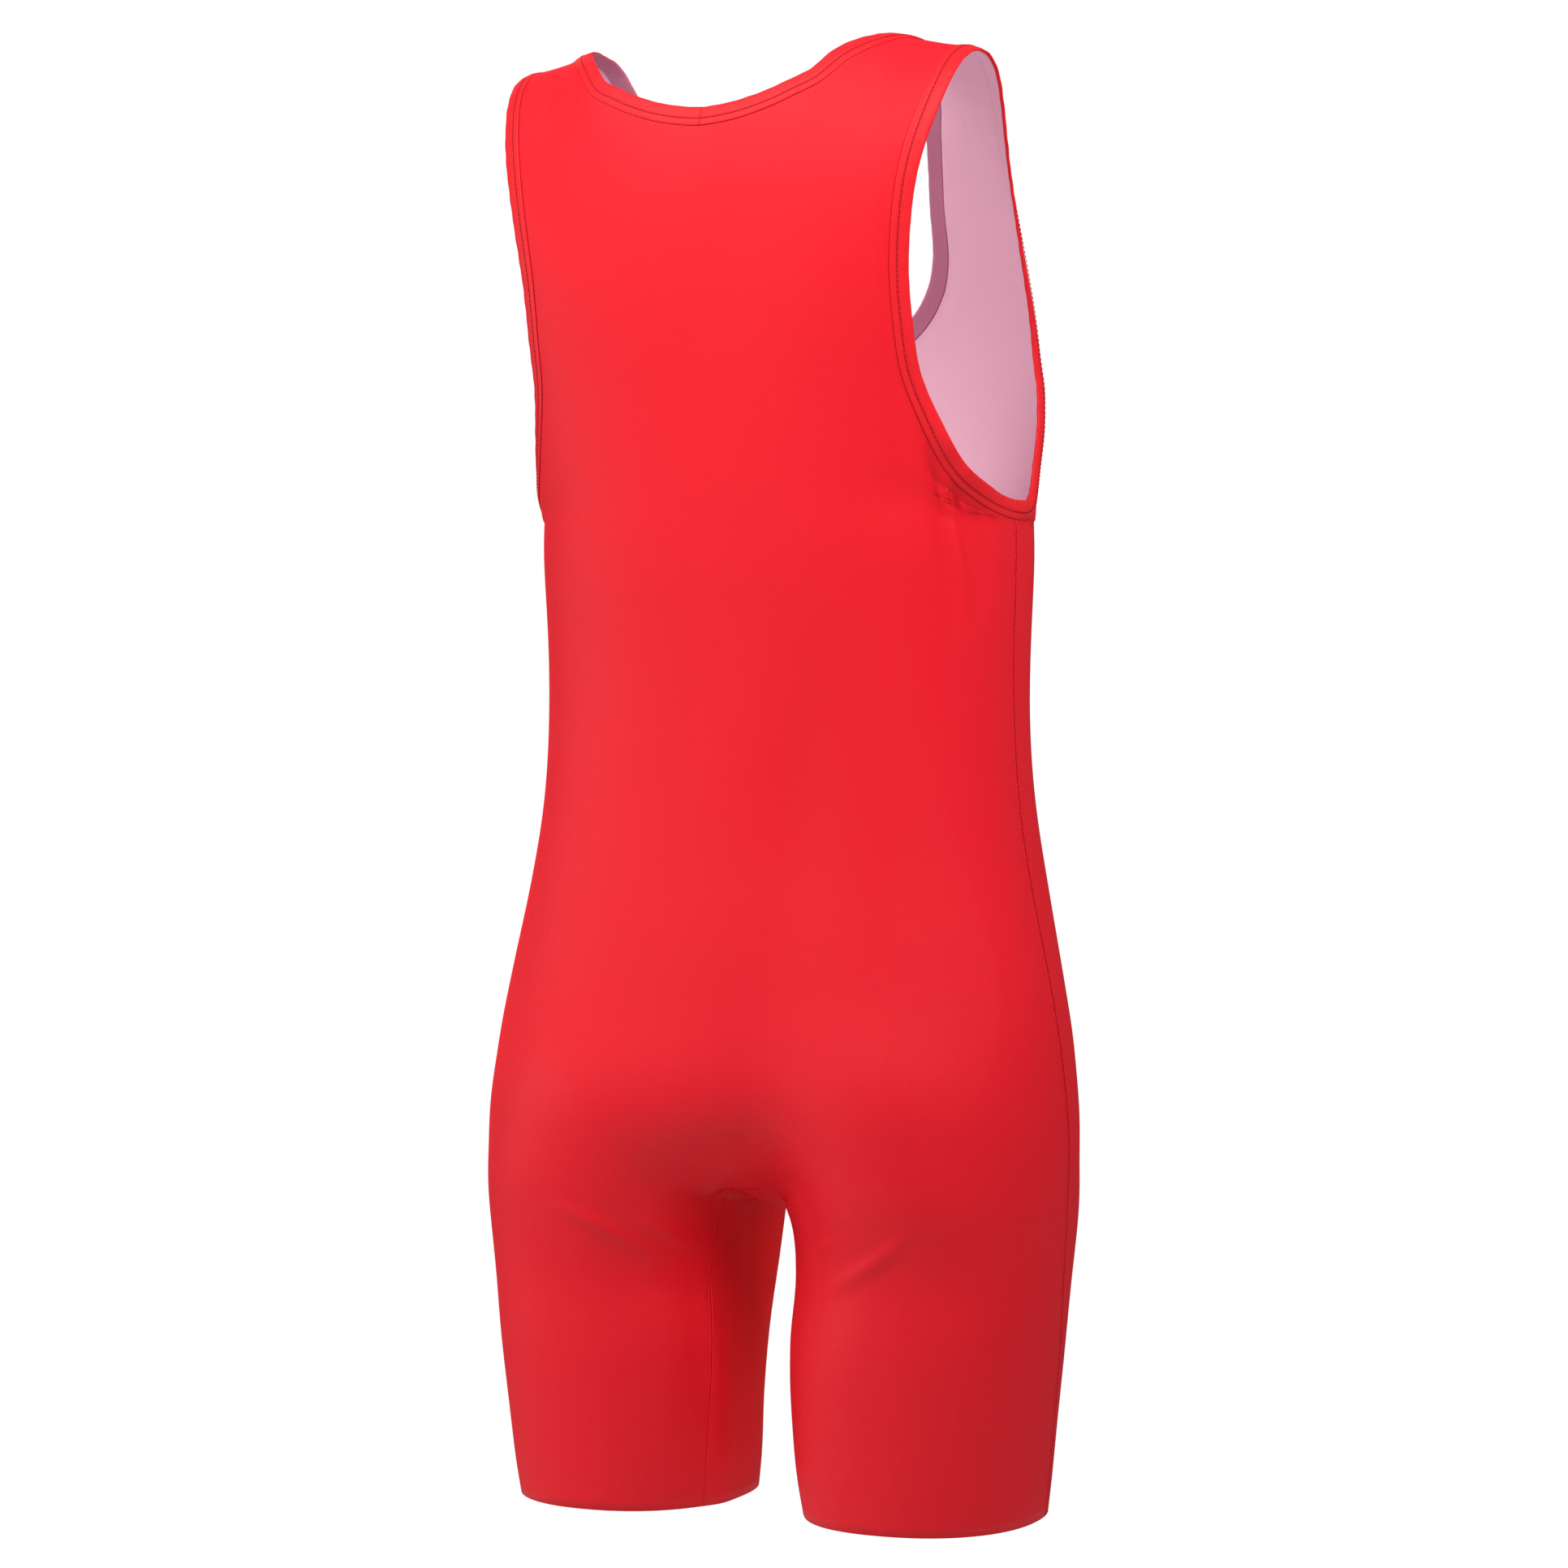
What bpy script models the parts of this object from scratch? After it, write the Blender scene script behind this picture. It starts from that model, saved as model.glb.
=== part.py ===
"""Wrestling singlet as it is worn: a one-piece sleeveless suit with short legs, hollow and open at
the neck, armholes and hems. Metres, +Z up, the front faces -Y, z = 0 where the straps are held."""

import bmesh
import bpy
import numpy as np

# Cloth and seams
WALL = 0.0012
BINDING_WALL = 0.0020
BINDING_RAISED = 0.0004
BINDING_WIDTH = 0.0108
SEAM_GAP = 0.0003
RED = (0.80, 0.03, 0.04)

# Heights
HEM = -0.857
CROTCH_CORE_BOTTOM = -0.681
INSEAM_TOP = -0.676
CROTCH_CORE_TOP = -0.598
UNDERARM = -0.279
FRONT_SHOULDER_BASE = -0.20
BACK_SHOULDER_BASE = -0.10

# Widths of the soft joins: leg to leg, trunk to legs
LEG_JOIN = 0.016
TRUNK_JOIN = 0.026
LEG_SIZE = 0.085
TRUNK_SIZE = 0.11

# Grid sizes
COLUMNS = 14
INNER_COLUMNS = 6
LEG_ROWS = 12
CROTCH_ROWS = 6
TRUNK_ROWS = 12
ARMHOLE_ROWS = 10
FINE = 400

# Trunk sections: height, half width, back depth, front depth, centre y, exponent
TRUNK = np.array(
    [
        (-0.700, 0.115, 0.098, 0.086, 0.006, 2.2),
        (-0.665, 0.150, 0.104, 0.090, 0.006, 2.2),
        (-0.642, 0.169, 0.108, 0.093, 0.006, 2.2),
        (-0.618, 0.1775, 0.110, 0.096, 0.006, 2.2),
        (-0.594, 0.178, 0.110, 0.099, 0.006, 2.2),
        (-0.546, 0.170, 0.104, 0.102, 0.004, 2.2),
        (-0.498, 0.159, 0.098, 0.103, 0.001, 2.25),
        (-0.450, 0.150, 0.094, 0.103, 0.000, 2.3),
        (-0.400, 0.146, 0.094, 0.103, 0.000, 2.3),
        (-0.350, 0.145, 0.098, 0.106, 0.000, 2.35),
        (-0.310, 0.146, 0.103, 0.108, 0.000, 2.42),
        (-0.279, 0.146, 0.106, 0.110, 0.000, 2.50),
    ]
)
# Leg sections: height, centre x, half width, half depth, centre y, exponents outside, inside behind
# and inside in front
LEGS = np.array(
    [
        (-0.857, 0.0930, 0.0680, 0.0753, 0.008, 2.20, 2.20, 2.20),
        (-0.840, 0.0932, 0.0697, 0.0767, 0.009, 2.25, 2.25, 2.25),
        (-0.800, 0.0942, 0.0720, 0.0800, 0.010, 2.30, 2.30, 2.30),
        (-0.760, 0.0952, 0.0751, 0.0833, 0.010, 2.35, 2.10, 2.45),
        (-0.720, 0.0960, 0.0779, 0.0870, 0.008, 2.35, 1.80, 2.75),
        (-0.690, 0.0955, 0.0815, 0.0915, 0.007, 2.30, 1.80, 2.60),
        (-0.660, 0.0925, 0.0860, 0.0955, 0.008, 2.20, 2.00, 2.40),
        (-0.620, 0.0850, 0.0825, 0.0900, 0.010, 2.10, 2.10, 2.20),
        (-0.580, 0.0760, 0.0700, 0.0830, 0.010, 2.00, 2.00, 2.00),
        (-0.530, 0.0680, 0.0600, 0.0700, 0.006, 2.00, 2.00, 2.00),
        (-0.450, 0.0600, 0.0500, 0.0500, 0.003, 2.00, 2.00, 2.00),
        (-0.270, 0.0500, 0.0500, 0.0500, 0.000, 2.00, 2.00, 2.00),
    ]
)
# Back above the underarm: height, half width, depth, centre y, exponent
UPPER_BACK = np.array(
    [
        (-0.279, 0.1460, 0.1060, 0.000, 2.50),
        (-0.240, 0.1475, 0.1100, 0.000, 2.65),
        (-0.200, 0.1495, 0.1145, 0.000, 2.95),
        (-0.180, 0.1560, 0.1170, 0.000, 3.0),
        (-0.140, 0.1700, 0.1210, 0.000, 3.0),
        (-0.100, 0.1880, 0.1225, 0.000, 3.0),
    ]
)
# Front above the underarm: height, half width, depth, centre y, exponent
UPPER_FRONT = np.array(
    [
        (-0.279, 0.1460, 0.1100, 0.000, 2.50),
        (-0.266, 0.1455, 0.1090, -0.002, 2.54),
        (-0.250, 0.1440, 0.1030, -0.010, 2.6),
        (-0.225, 0.1430, 0.0920, -0.023, 2.7),
        (-0.200, 0.1405, 0.0820, -0.034, 2.7),
    ]
)
# Shoulder crest: x, height
CREST = np.array(
    [
        (0.000, 0.002),
        (0.050, 0.010),
        (0.075, 0.007),
        (0.090, -0.002),
        (0.105, -0.008),
        (0.120, -0.0115),
        (0.135, -0.014),
        (0.150, -0.018),
    ]
)
CREST_Y = 0.045
BACK_RISE_EXPONENT = 2.4
# Front rise from chest to crest: level, reach in y, rise in z
FRONT_RISE = np.array(
    [
        (0.00, 1.000, 0.000),
        (0.15, 0.985, 0.130),
        (0.30, 0.915, 0.250),
        (0.45, 0.780, 0.390),
        (0.60, 0.590, 0.550),
        (0.75, 0.380, 0.730),
        (0.88, 0.190, 0.915),
        (0.95, 0.085, 0.985),
        (1.00, 0.000, 1.000),
    ]
)
# Front half width above the chest: level, half width
FRONT_STRAP_WIDTH = np.array(
    [
        (0.000, 0.1405),
        (0.120, 0.1375),
        (0.240, 0.1370),
        (0.460, 0.1380),
        (0.655, 0.1390),
        (0.790, 0.1415),
        (0.905, 0.1425),
        (1.000, 0.1387),
    ]
)

# Back armhole seam below the shoulder: step, section angle in degrees, height
BACK_ARMHOLE = np.array(
    [
        (0.00, 2.0, -0.2790),
        (0.12, 15.0, -0.2735),
        (0.25, 30.0, -0.2600),
        (0.35, 38.0, -0.2400),
        (0.45, 43.5, -0.2200),
        (0.56, 48.5, -0.2000),
        (0.67, 52.5, -0.1800),
        (0.84, 57.8, -0.1400),
        (1.00, 61.0, -0.1000),
    ]
)
# Back armhole seam over the shoulder: level, x
BACK_STRAP_EDGE = np.array(
    [
        (0.00, 0.1160),
        (0.10, 0.1185),
        (0.23, 0.1235),
        (0.42, 0.1285),
        (0.70, 0.1320),
        (1.00, 0.1340),
    ]
)
# Back neck seam: x, level
BACK_NECK = np.array(
    [
        (0.0000, 0.212),
        (0.0300, 0.228),
        (0.0570, 0.290),
        (0.0750, 0.375),
        (0.0840, 0.500),
        (0.0940, 0.650),
        (0.1000, 0.767),
        (0.1065, 1.000),
    ]
)
# Front armhole seam below the chest base: step, section angle in degrees, height
FRONT_ARMHOLE = np.array(
    [
        (0.0, 2.0, -0.2790),
        (0.2, 9.0, -0.2765),
        (0.4, 15.0, -0.2680),
        (0.6, 18.5, -0.2520),
        (0.8, 18.7, -0.2280),
        (1.0, 17.5, -0.2000),
    ]
)
# Front armhole seam above the chest base: level, section angle in degrees
FRONT_STRAP_EDGE = np.array([(0.00, 17.5), (0.25, 18.5), (0.50, 18.5), (0.75, 17.5), (1.00, 17.0)])
# Front neck seam: x, level
FRONT_NECK = np.array(
    [
        (0.0000, 0.120),
        (0.0220, 0.150),
        (0.0420, 0.225),
        (0.0560, 0.305),
        (0.0660, 0.380),
        (0.0730, 0.460),
        (0.0795, 0.570),
        (0.0860, 0.655),
        (0.0945, 0.760),
        (0.1020, 0.860),
        (0.1065, 1.000),
    ]
)
# Side seam: height, angle in degrees behind the section's widest line
SIDE_SEAM = np.array(
    [(-0.857, -15.0), (-0.760, -13.0), (-0.700, -5.0), (-0.640, 0.0), (-0.500, 2.0), (-0.279, 2.0)]
)
INSEAM_ANGLE_AT_HEM = 147.5

# Places along the neck seams where rows of the shoulders start
BACK_NECK_X = np.array([0.0, 0.016, 0.032, 0.047, 0.060, 0.071, 0.078, 0.084, 0.090, 0.096, 0.101, 0.1045])
FRONT_NECK_X = np.array(
    [0.0, 0.012, 0.024, 0.036, 0.047, 0.057, 0.066, 0.073, 0.0795, 0.086, 0.0945, 0.1, 0.103]
)
BACK_PLAIN_LEVELS = [0.07, 0.14]
FRONT_PLAIN_LEVELS = [0.06]
FRONT_LAST_LEVELS = [0.955, 1.0]


def smooth(table, at):
    """Smooth curves through the rows of a table, read at the first column's values."""
    knots, values = table[:, 0], table[:, 1:]
    slopes = np.gradient(values, knots, axis=0)
    at = np.clip(np.asarray(at, float), knots[0], knots[-1])
    i = np.clip(np.searchsorted(knots, at, side="right") - 1, 0, len(knots) - 2)
    h = (knots[i + 1] - knots[i])[..., None]
    t = (at[..., None] - knots[i][..., None]) / h
    found = (
        (2 * t**3 - 3 * t**2 + 1) * values[i]
        + (t**3 - 2 * t**2 + t) * h * slopes[i]
        + (3 * t**2 - 2 * t**3) * values[i + 1]
        + (t**3 - t**2) * h * slopes[i + 1]
    )
    return np.moveaxis(found, -1, 0)


def blend_min(a, b, width):
    """The smaller of two fields, with a rounded join of the given width."""
    h = np.clip(0.5 + 0.5 * (b - a) / width, 0, 1)
    return b + (a - b) * h - width * h * (1 - h)


def leg_field(x, y, z):
    """Below 0 inside the leg on the +X side, 0 on its rounded section."""
    cx, a, b, cy, outside, behind, in_front = smooth(LEGS, z)
    power = np.where(x > cx, outside, np.where(y > cy, behind, in_front))
    return ((np.abs(x - cx) / a) ** power + (np.abs(y - cy) / b) ** power) ** (1 / power) - 1


def field(x, y, z):
    """Below 0 inside the worn form: the trunk joined softly to the two legs."""
    half_width, back, front, centre, power = smooth(TRUNK, z)
    sink = np.clip((CROTCH_CORE_TOP - z) / (CROTCH_CORE_TOP - CROTCH_CORE_BOTTOM), 0, 0.9999)
    depth = np.where(y > centre, back, front) * np.sqrt(1 - sink**2)
    core = ((np.abs(x) / half_width) ** power + (np.abs(y - centre) / depth) ** power) ** (1 / power) - 1
    gone = np.where(z < CROTCH_CORE_BOTTOM, 1.0, 0.0)
    legs = blend_min(LEG_SIZE * leg_field(x, y, z), LEG_SIZE * leg_field(-x, y, z), LEG_JOIN)
    return blend_min(TRUNK_SIZE * core + gone, legs, TRUNK_JOIN)


def halve(low, high, inside):
    """Halves a span until it holds the place where inside() changes."""
    for _ in range(44):
        middle = 0.5 * (low + high)
        keep = inside(middle)
        low, high = np.where(keep, middle, low), np.where(keep, high, middle)
    return 0.5 * (low + high)


def leg_axis(z):
    cx, _, _, cy = smooth(LEGS, z)[:4]
    return cx, cy


def on_ray(angle, z):
    """The form's point on a level ray from the leg's axis, no further than the centre plane."""
    angle, z = np.broadcast_arrays(np.asarray(angle, float), np.asarray(z, float))
    cx, cy = leg_axis(z)
    c, s = np.cos(angle), np.sin(angle)
    far = np.minimum(0.3, cx / np.maximum(-c, 1e-6))
    r = halve(np.zeros(z.shape), far, lambda r: field(cx + r * c, cy + r * s, z) < 0)
    return np.stack([cx + r * c, cy + r * s, z], -1)


def centre_y(z, side):
    """Where the form's outline at a height crosses the centre plane, behind or in front."""
    z = np.asarray(z, float)
    _, cy = leg_axis(z)
    return halve(cy, cy + side * 0.3, lambda y: field(np.zeros(z.shape), y, z) < 0)


def centre_height(y):
    """The lowest height of the form in the centre plane, under the crotch."""
    high, low = np.full(y.shape, CROTCH_CORE_TOP), np.full(y.shape, -0.72)
    return halve(high, low, lambda z: field(np.zeros(y.shape), y, z) < 0)


def centre_angle(z, side):
    cx, cy = leg_axis(z)
    found = np.arctan2(centre_y(z, side) - cy, -cx)
    return found if side > 0 else np.where(found > 0, found - 2 * np.pi, found)


def inseam_angle(z, side):
    """The seam's angle on the leg, turning to meet the centre plane at the top of the inseam."""
    q = np.clip((z - HEM) / (INSEAM_TOP - HEM), 0, 1) ** 2
    low = side * np.radians(INSEAM_ANGLE_AT_HEM)
    return low + (centre_angle(np.full(np.shape(z), INSEAM_TOP), side) - low) * q


def cut(line, start, stop):
    """Points evenly along a fine line, between two distances from its ends."""
    along = np.concatenate([[0], np.cumsum(np.linalg.norm(np.diff(line, axis=0), axis=1))])
    at = np.linspace(start, along[-1] - stop, COLUMNS + 1)
    return np.stack([np.interp(at, along, line[:, k]) for k in range(3)], 1)


def low_row(z, side):
    """A level row below the underarm, from the centre or inseam round to the side seam."""
    start = inseam_angle(z, side) if z < INSEAM_TOP else centre_angle(z, side)
    return on_ray(np.linspace(start, np.radians(smooth(SIDE_SEAM, z)[0]), FINE), z)


def upper(table, z, angle, face):
    """A point of the rounded section at a height above the underarm, at an angle in radians."""
    a, depth, centre, power = smooth(table, z)
    c, s = np.cos(angle), np.sin(angle)
    return np.stack([a * c ** (2 / power), centre + face * depth * s ** (2 / power), z + 0 * c], -1)


def upper_normal(table, z, angle, face):
    """The outward normal there, from small steps in angle and height."""
    step = 1e-4
    turned = upper(table, z, angle + step, face) - upper(table, z, angle - step, face)
    lifted = upper(table, z + step, angle, face) - upper(table, z - step, angle, face)
    found = face * np.cross(turned, lifted)
    return found / np.linalg.norm(found, axis=-1)[..., None]


def upper_row(table, armhole, step, face):
    angle, z = smooth(armhole, step)
    return upper(table, z, np.linspace(np.pi / 2, np.radians(angle), FINE), face)


def raised(x, y, reach, rise, base):
    crest = smooth(CREST, x)[0]
    return np.stack([x, CREST_Y + (y - CREST_Y) * reach, base + (crest - base) * rise], 1)


def inner_edge(level, table, curve):
    """Where a shoulder row starts: the centre plane below the neck seam, the seam above it."""
    return 0.0 if level <= table[0, 1] else np.interp(level, curve[1], curve[0])


def back_shoulder_row(level):
    a, depth, _, power = UPPER_BACK[-1, 1:]
    first = inner_edge(level, BACK_NECK, BACK_NECK_CURVE)
    x = np.linspace(first, smooth(BACK_STRAP_EDGE, level)[0], FINE)
    y = depth * (1 - (x / a) ** power) ** (1 / power)
    turn = level * np.pi / 2
    reach, rise = np.cos(turn) ** (2 / BACK_RISE_EXPONENT), np.sin(turn) ** (2 / BACK_RISE_EXPONENT)
    return raised(x, y, reach, rise, BACK_SHOULDER_BASE)


def front_shoulder_row(level):
    _, depth, centre, power = UPPER_FRONT[-1, 1:]
    a = smooth(FRONT_STRAP_WIDTH, level)[0]
    first = np.arccos((inner_edge(level, FRONT_NECK, FRONT_NECK_CURVE) / a) ** (power / 2))
    angle = np.linspace(first, np.radians(smooth(FRONT_STRAP_EDGE, level)[0]), FINE)
    x = a * np.cos(angle) ** (2 / power)
    y = centre - depth * np.sin(angle) ** (2 / power)
    reach, rise = smooth(FRONT_RISE, level)
    return raised(x, y, reach, rise, FRONT_SHOULDER_BASE)


def traced(table):
    """A table's smooth curve as two fine rows of numbers, the second one rising."""
    fine = np.linspace(table[0, 0], table[-1, 0], 2000)
    return fine, np.maximum.accumulate(smooth(table, fine)[0])


BACK_NECK_CURVE = traced(BACK_NECK)
FRONT_NECK_CURVE = traced(FRONT_NECK)


def panel_rows(side, shift):
    """Every row of half a panel, hem to shoulder, and the numbers of its first neck and armhole rows."""
    top = INSEAM_TOP + shift
    rise = np.sin(np.linspace(0, np.pi / 2, LEG_ROWS + 1))
    turn = 1 - np.cos(np.linspace(0, np.pi / 2, CROTCH_ROWS + 1)[1:])
    trunk = np.linspace(CROTCH_CORE_TOP, UNDERARM, TRUNK_ROWS + 1)[1:]
    heights = np.concatenate([HEM + (top - HEM) * rise, top + (CROTCH_CORE_TOP - top) * turn, trunk])
    rows = []
    for i, z in enumerate(heights):
        trim = SEAM_GAP if side > 0 and i < LEG_ROWS else 0.0
        rows.append(cut(low_row(z, side), trim, SEAM_GAP / 2))
    armhole = len(rows) - 1
    table, edge = (UPPER_BACK, BACK_ARMHOLE) if side > 0 else (UPPER_FRONT, FRONT_ARMHOLE)
    rows += [cut(upper_row(table, edge, step, side), 0, 0) for step in ARMHOLE_STEPS[1:]]
    if side > 0:
        levels = BACK_PLAIN_LEVELS + list(smooth(BACK_NECK, BACK_NECK_X)[0]) + [1.0]
        made = [back_shoulder_row(v) for v in levels]
        neck = len(rows) + len(BACK_PLAIN_LEVELS)
    else:
        levels = FRONT_PLAIN_LEVELS + list(smooth(FRONT_NECK, FRONT_NECK_X)[0]) + FRONT_LAST_LEVELS
        made = [front_shoulder_row(v) for v in levels]
        neck = len(rows) + len(FRONT_PLAIN_LEVELS)
    made[-1][:, 1] += side * SEAM_GAP / 2
    rows += [cut(line, 0, 0) for line in made]
    return np.array(rows), neck, armhole


def inner_rows(heights):
    """Half of the front piece's part that covers the inner thigh and the crotch."""
    back_y, front_y = centre_y(np.full(2, INSEAM_TOP), np.array([1.0, -1.0]))
    v = np.linspace(0, 1, INNER_COLUMNS + 1)
    y = front_y + (back_y - front_y) * v
    top = centre_height(y)
    top[[0, -1]] = INSEAM_TOP
    cx, cy = leg_axis(top)
    last = np.arctan2(y - cy, -cx)
    last = np.where(last > 0, last - 2 * np.pi, last)
    q = ((heights - HEM) / (INSEAM_TOP - HEM))[:, None]
    first_front, first_back = inseam_angle(HEM, -1), inseam_angle(HEM, 1) - 2 * np.pi
    first = first_front + (first_back - first_front) * v
    angle = first + (last - first) * q**2
    angle[:, 0] = inseam_angle(heights, -1)
    angle[:, -1] = inseam_angle(heights, 1) - 2 * np.pi
    points = on_ray(angle, HEM + (top - HEM) * q)
    points[-1] = np.stack([np.zeros(len(y)), y, top], 1)
    return points


def grid_faces(rows, columns, start=0):
    i = np.arange(rows - 1)[:, None] * columns + np.arange(columns - 1) + start
    return np.stack([i, i + 1, i + columns + 1, i + columns], -1).reshape(-1, 4)


def normals_of(grid):
    """Unit normals of a grid of points, from the differences along rows and columns."""
    found = np.cross(np.gradient(grid, axis=1), np.gradient(grid, axis=0))
    return found / np.linalg.norm(found, axis=-1)[..., None]


def edge_normals(panel, side, armhole):
    """Outward normals along a panel's armhole edge: from the section below the shoulder, from the
    grid over it."""
    table, edge = (UPPER_BACK, BACK_ARMHOLE) if side > 0 else (UPPER_FRONT, FRONT_ARMHOLE)
    found = (-side * normals_of(panel))[:, -1]
    angle, z = smooth(edge, ARMHOLE_STEPS)
    found[armhole : armhole + len(ARMHOLE_STEPS)] = upper_normal(table, z, np.radians(angle), side)
    return found


def strip(edge, normals, closed, away):
    """A binding's rows: it starts one seam gap from the panel's edge and carries the cloth on."""
    if closed:
        tangent = np.roll(edge, -1, 0) - np.roll(edge, 1, 0)
    else:
        tangent = np.gradient(edge, axis=0)
        tangent[[0, -1]] *= [1, 0, 0]
    tangent /= np.linalg.norm(tangent, axis=1)[:, None]
    normals = normals - (normals * tangent).sum(1)[:, None] * tangent
    normals /= np.linalg.norm(normals, axis=1)[:, None]
    out = np.cross(tangent, normals)
    out *= np.sign((out * away).sum())
    across = np.array([SEAM_GAP, 0.5 * BINDING_WIDTH, BINDING_WIDTH])
    return edge[:, None] + BINDING_RAISED * normals[:, None] + across[:, None] * out[:, None]


def add_object(name, points, faces, thickness, mirrored):
    mesh = bpy.data.meshes.new(name)
    mesh.from_pydata([tuple(p) for p in points], [], [tuple(int(i) for i in f) for f in faces])
    shape = bmesh.new()
    shape.from_mesh(mesh)
    bmesh.ops.remove_doubles(shape, verts=shape.verts, dist=1e-6)
    shape.to_mesh(mesh)
    shape.free()
    for face in mesh.polygons:
        face.use_smooth = True
    obj = bpy.data.objects.new(name, mesh)
    singlet.objects.link(obj)
    material = bpy.data.materials.new(name)
    material.use_nodes = True
    shader = material.node_tree.nodes["Principled BSDF"]
    shader.inputs["Base Color"].default_value = (*RED, 1)
    shader.inputs["Roughness"].default_value = 0.6
    mesh.materials.append(material)
    if mirrored:
        mirror = obj.modifiers.new("other half", "MIRROR")
        mirror.use_axis = (True, False, False)
        mirror.use_clip = True
        mirror.merge_threshold = 0.00001
    wall = obj.modifiers.new("wall", "SOLIDIFY")
    wall.thickness = thickness
    wall.offset = 0
    wall.use_even_offset = False
    wall.use_rim = True


for old in list(bpy.data.objects):
    bpy.data.objects.remove(old)
singlet = bpy.data.collections.new("wrestling_singlet")
bpy.context.scene.collection.children.link(singlet)

ARMHOLE_STEPS = np.linspace(0, 1, ARMHOLE_ROWS + 1)
back, back_neck, back_arm = panel_rows(1, SEAM_GAP)
front, front_neck, front_arm = panel_rows(-1, 0.0)
inner = inner_rows(front[: LEG_ROWS + 1, 0, 2])

# The panels, outside faces outwards; the front carries its inner thigh part
add_object("back", back.reshape(-1, 3), grid_faces(*back.shape[:2])[:, ::-1], WALL, True)
front_faces = grid_faces(*front.shape[:2])
inner_faces = grid_faces(*inner.shape[:2], front[..., 0].size)[:, ::-1]
front_points = np.concatenate([front.reshape(-1, 3), inner.reshape(-1, 3)])
add_object("front", front_points, np.concatenate([front_faces, inner_faces]), WALL, True)

# Neck binding: half a ring over the back neck, the shoulder and the front neck
back_normals, front_normals = -normals_of(back), normals_of(front)
crest_point = 0.5 * (back[-1, 0] + front[-1, 0])
neck_edge = np.concatenate([back[back_neck:-1, 0], [crest_point], front[front_neck:-1, 0][::-1]])
crest_normal = back_normals[-1, 0] + front_normals[-1, 0]
neck_normals = np.concatenate(
    [back_normals[back_neck:-1, 0], [crest_normal], front_normals[front_neck:-1, 0][::-1]]
)
neck = strip(neck_edge, neck_normals, False, [0, 0, 0.02] - neck_edge * [1, 0, 0])
add_object("neck_binding", neck.reshape(-1, 3), grid_faces(*neck.shape[:2]), BINDING_WALL, True)

# Armhole bindings: closed rings from the underarm up the back and down the front
back_edge, front_edge = edge_normals(back, 1, back_arm), edge_normals(front, -1, front_arm)
underarm = 0.5 * (back[back_arm, -1] + front[front_arm, -1])
shoulder = 0.5 * (back[-1, -1] + front[-1, -1])
arm_edge = np.concatenate(
    [[underarm], back[back_arm + 1 : -1, -1], [shoulder], front[front_arm + 1 : -1, -1][::-1]]
)
arm_normals = np.concatenate(
    [
        [back_edge[back_arm] + front_edge[front_arm]],
        back_edge[back_arm + 1 : -1],
        [back_edge[-1] + front_edge[-1]],
        front_edge[front_arm + 1 : -1][::-1],
    ]
)
arm = strip(arm_edge, arm_normals, True, arm_edge.mean(0) - arm_edge)
arm = np.concatenate([arm, arm[:1]])
arm_faces = grid_faces(*arm.shape[:2])
add_object("armhole_binding_left", arm.reshape(-1, 3), arm_faces[:, ::-1], BINDING_WALL, False)
add_object("armhole_binding_right", (arm * [-1, 1, 1]).reshape(-1, 3), arm_faces, BINDING_WALL, False)
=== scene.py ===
# Wrestling singlet, worn and hollow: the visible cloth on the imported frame.
# Metres, +Z up, the front faces -Y, z = 0 at the height where the straps are held.
import math
import bpy
import numpy as np
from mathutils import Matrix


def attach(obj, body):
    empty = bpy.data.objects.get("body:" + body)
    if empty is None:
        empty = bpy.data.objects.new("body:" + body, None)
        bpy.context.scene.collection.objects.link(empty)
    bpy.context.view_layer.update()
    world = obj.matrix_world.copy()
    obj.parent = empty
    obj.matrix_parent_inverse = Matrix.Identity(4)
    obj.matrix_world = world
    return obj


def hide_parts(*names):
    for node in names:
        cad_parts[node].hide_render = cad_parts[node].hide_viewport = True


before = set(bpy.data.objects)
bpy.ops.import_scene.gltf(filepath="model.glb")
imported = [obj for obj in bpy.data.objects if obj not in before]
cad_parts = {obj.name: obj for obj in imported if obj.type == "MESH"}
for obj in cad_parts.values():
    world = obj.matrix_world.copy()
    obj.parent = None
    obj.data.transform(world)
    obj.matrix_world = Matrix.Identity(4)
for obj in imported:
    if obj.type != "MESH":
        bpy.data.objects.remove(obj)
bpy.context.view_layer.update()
print("frame loaded:", ", ".join(sorted(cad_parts)))

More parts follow.
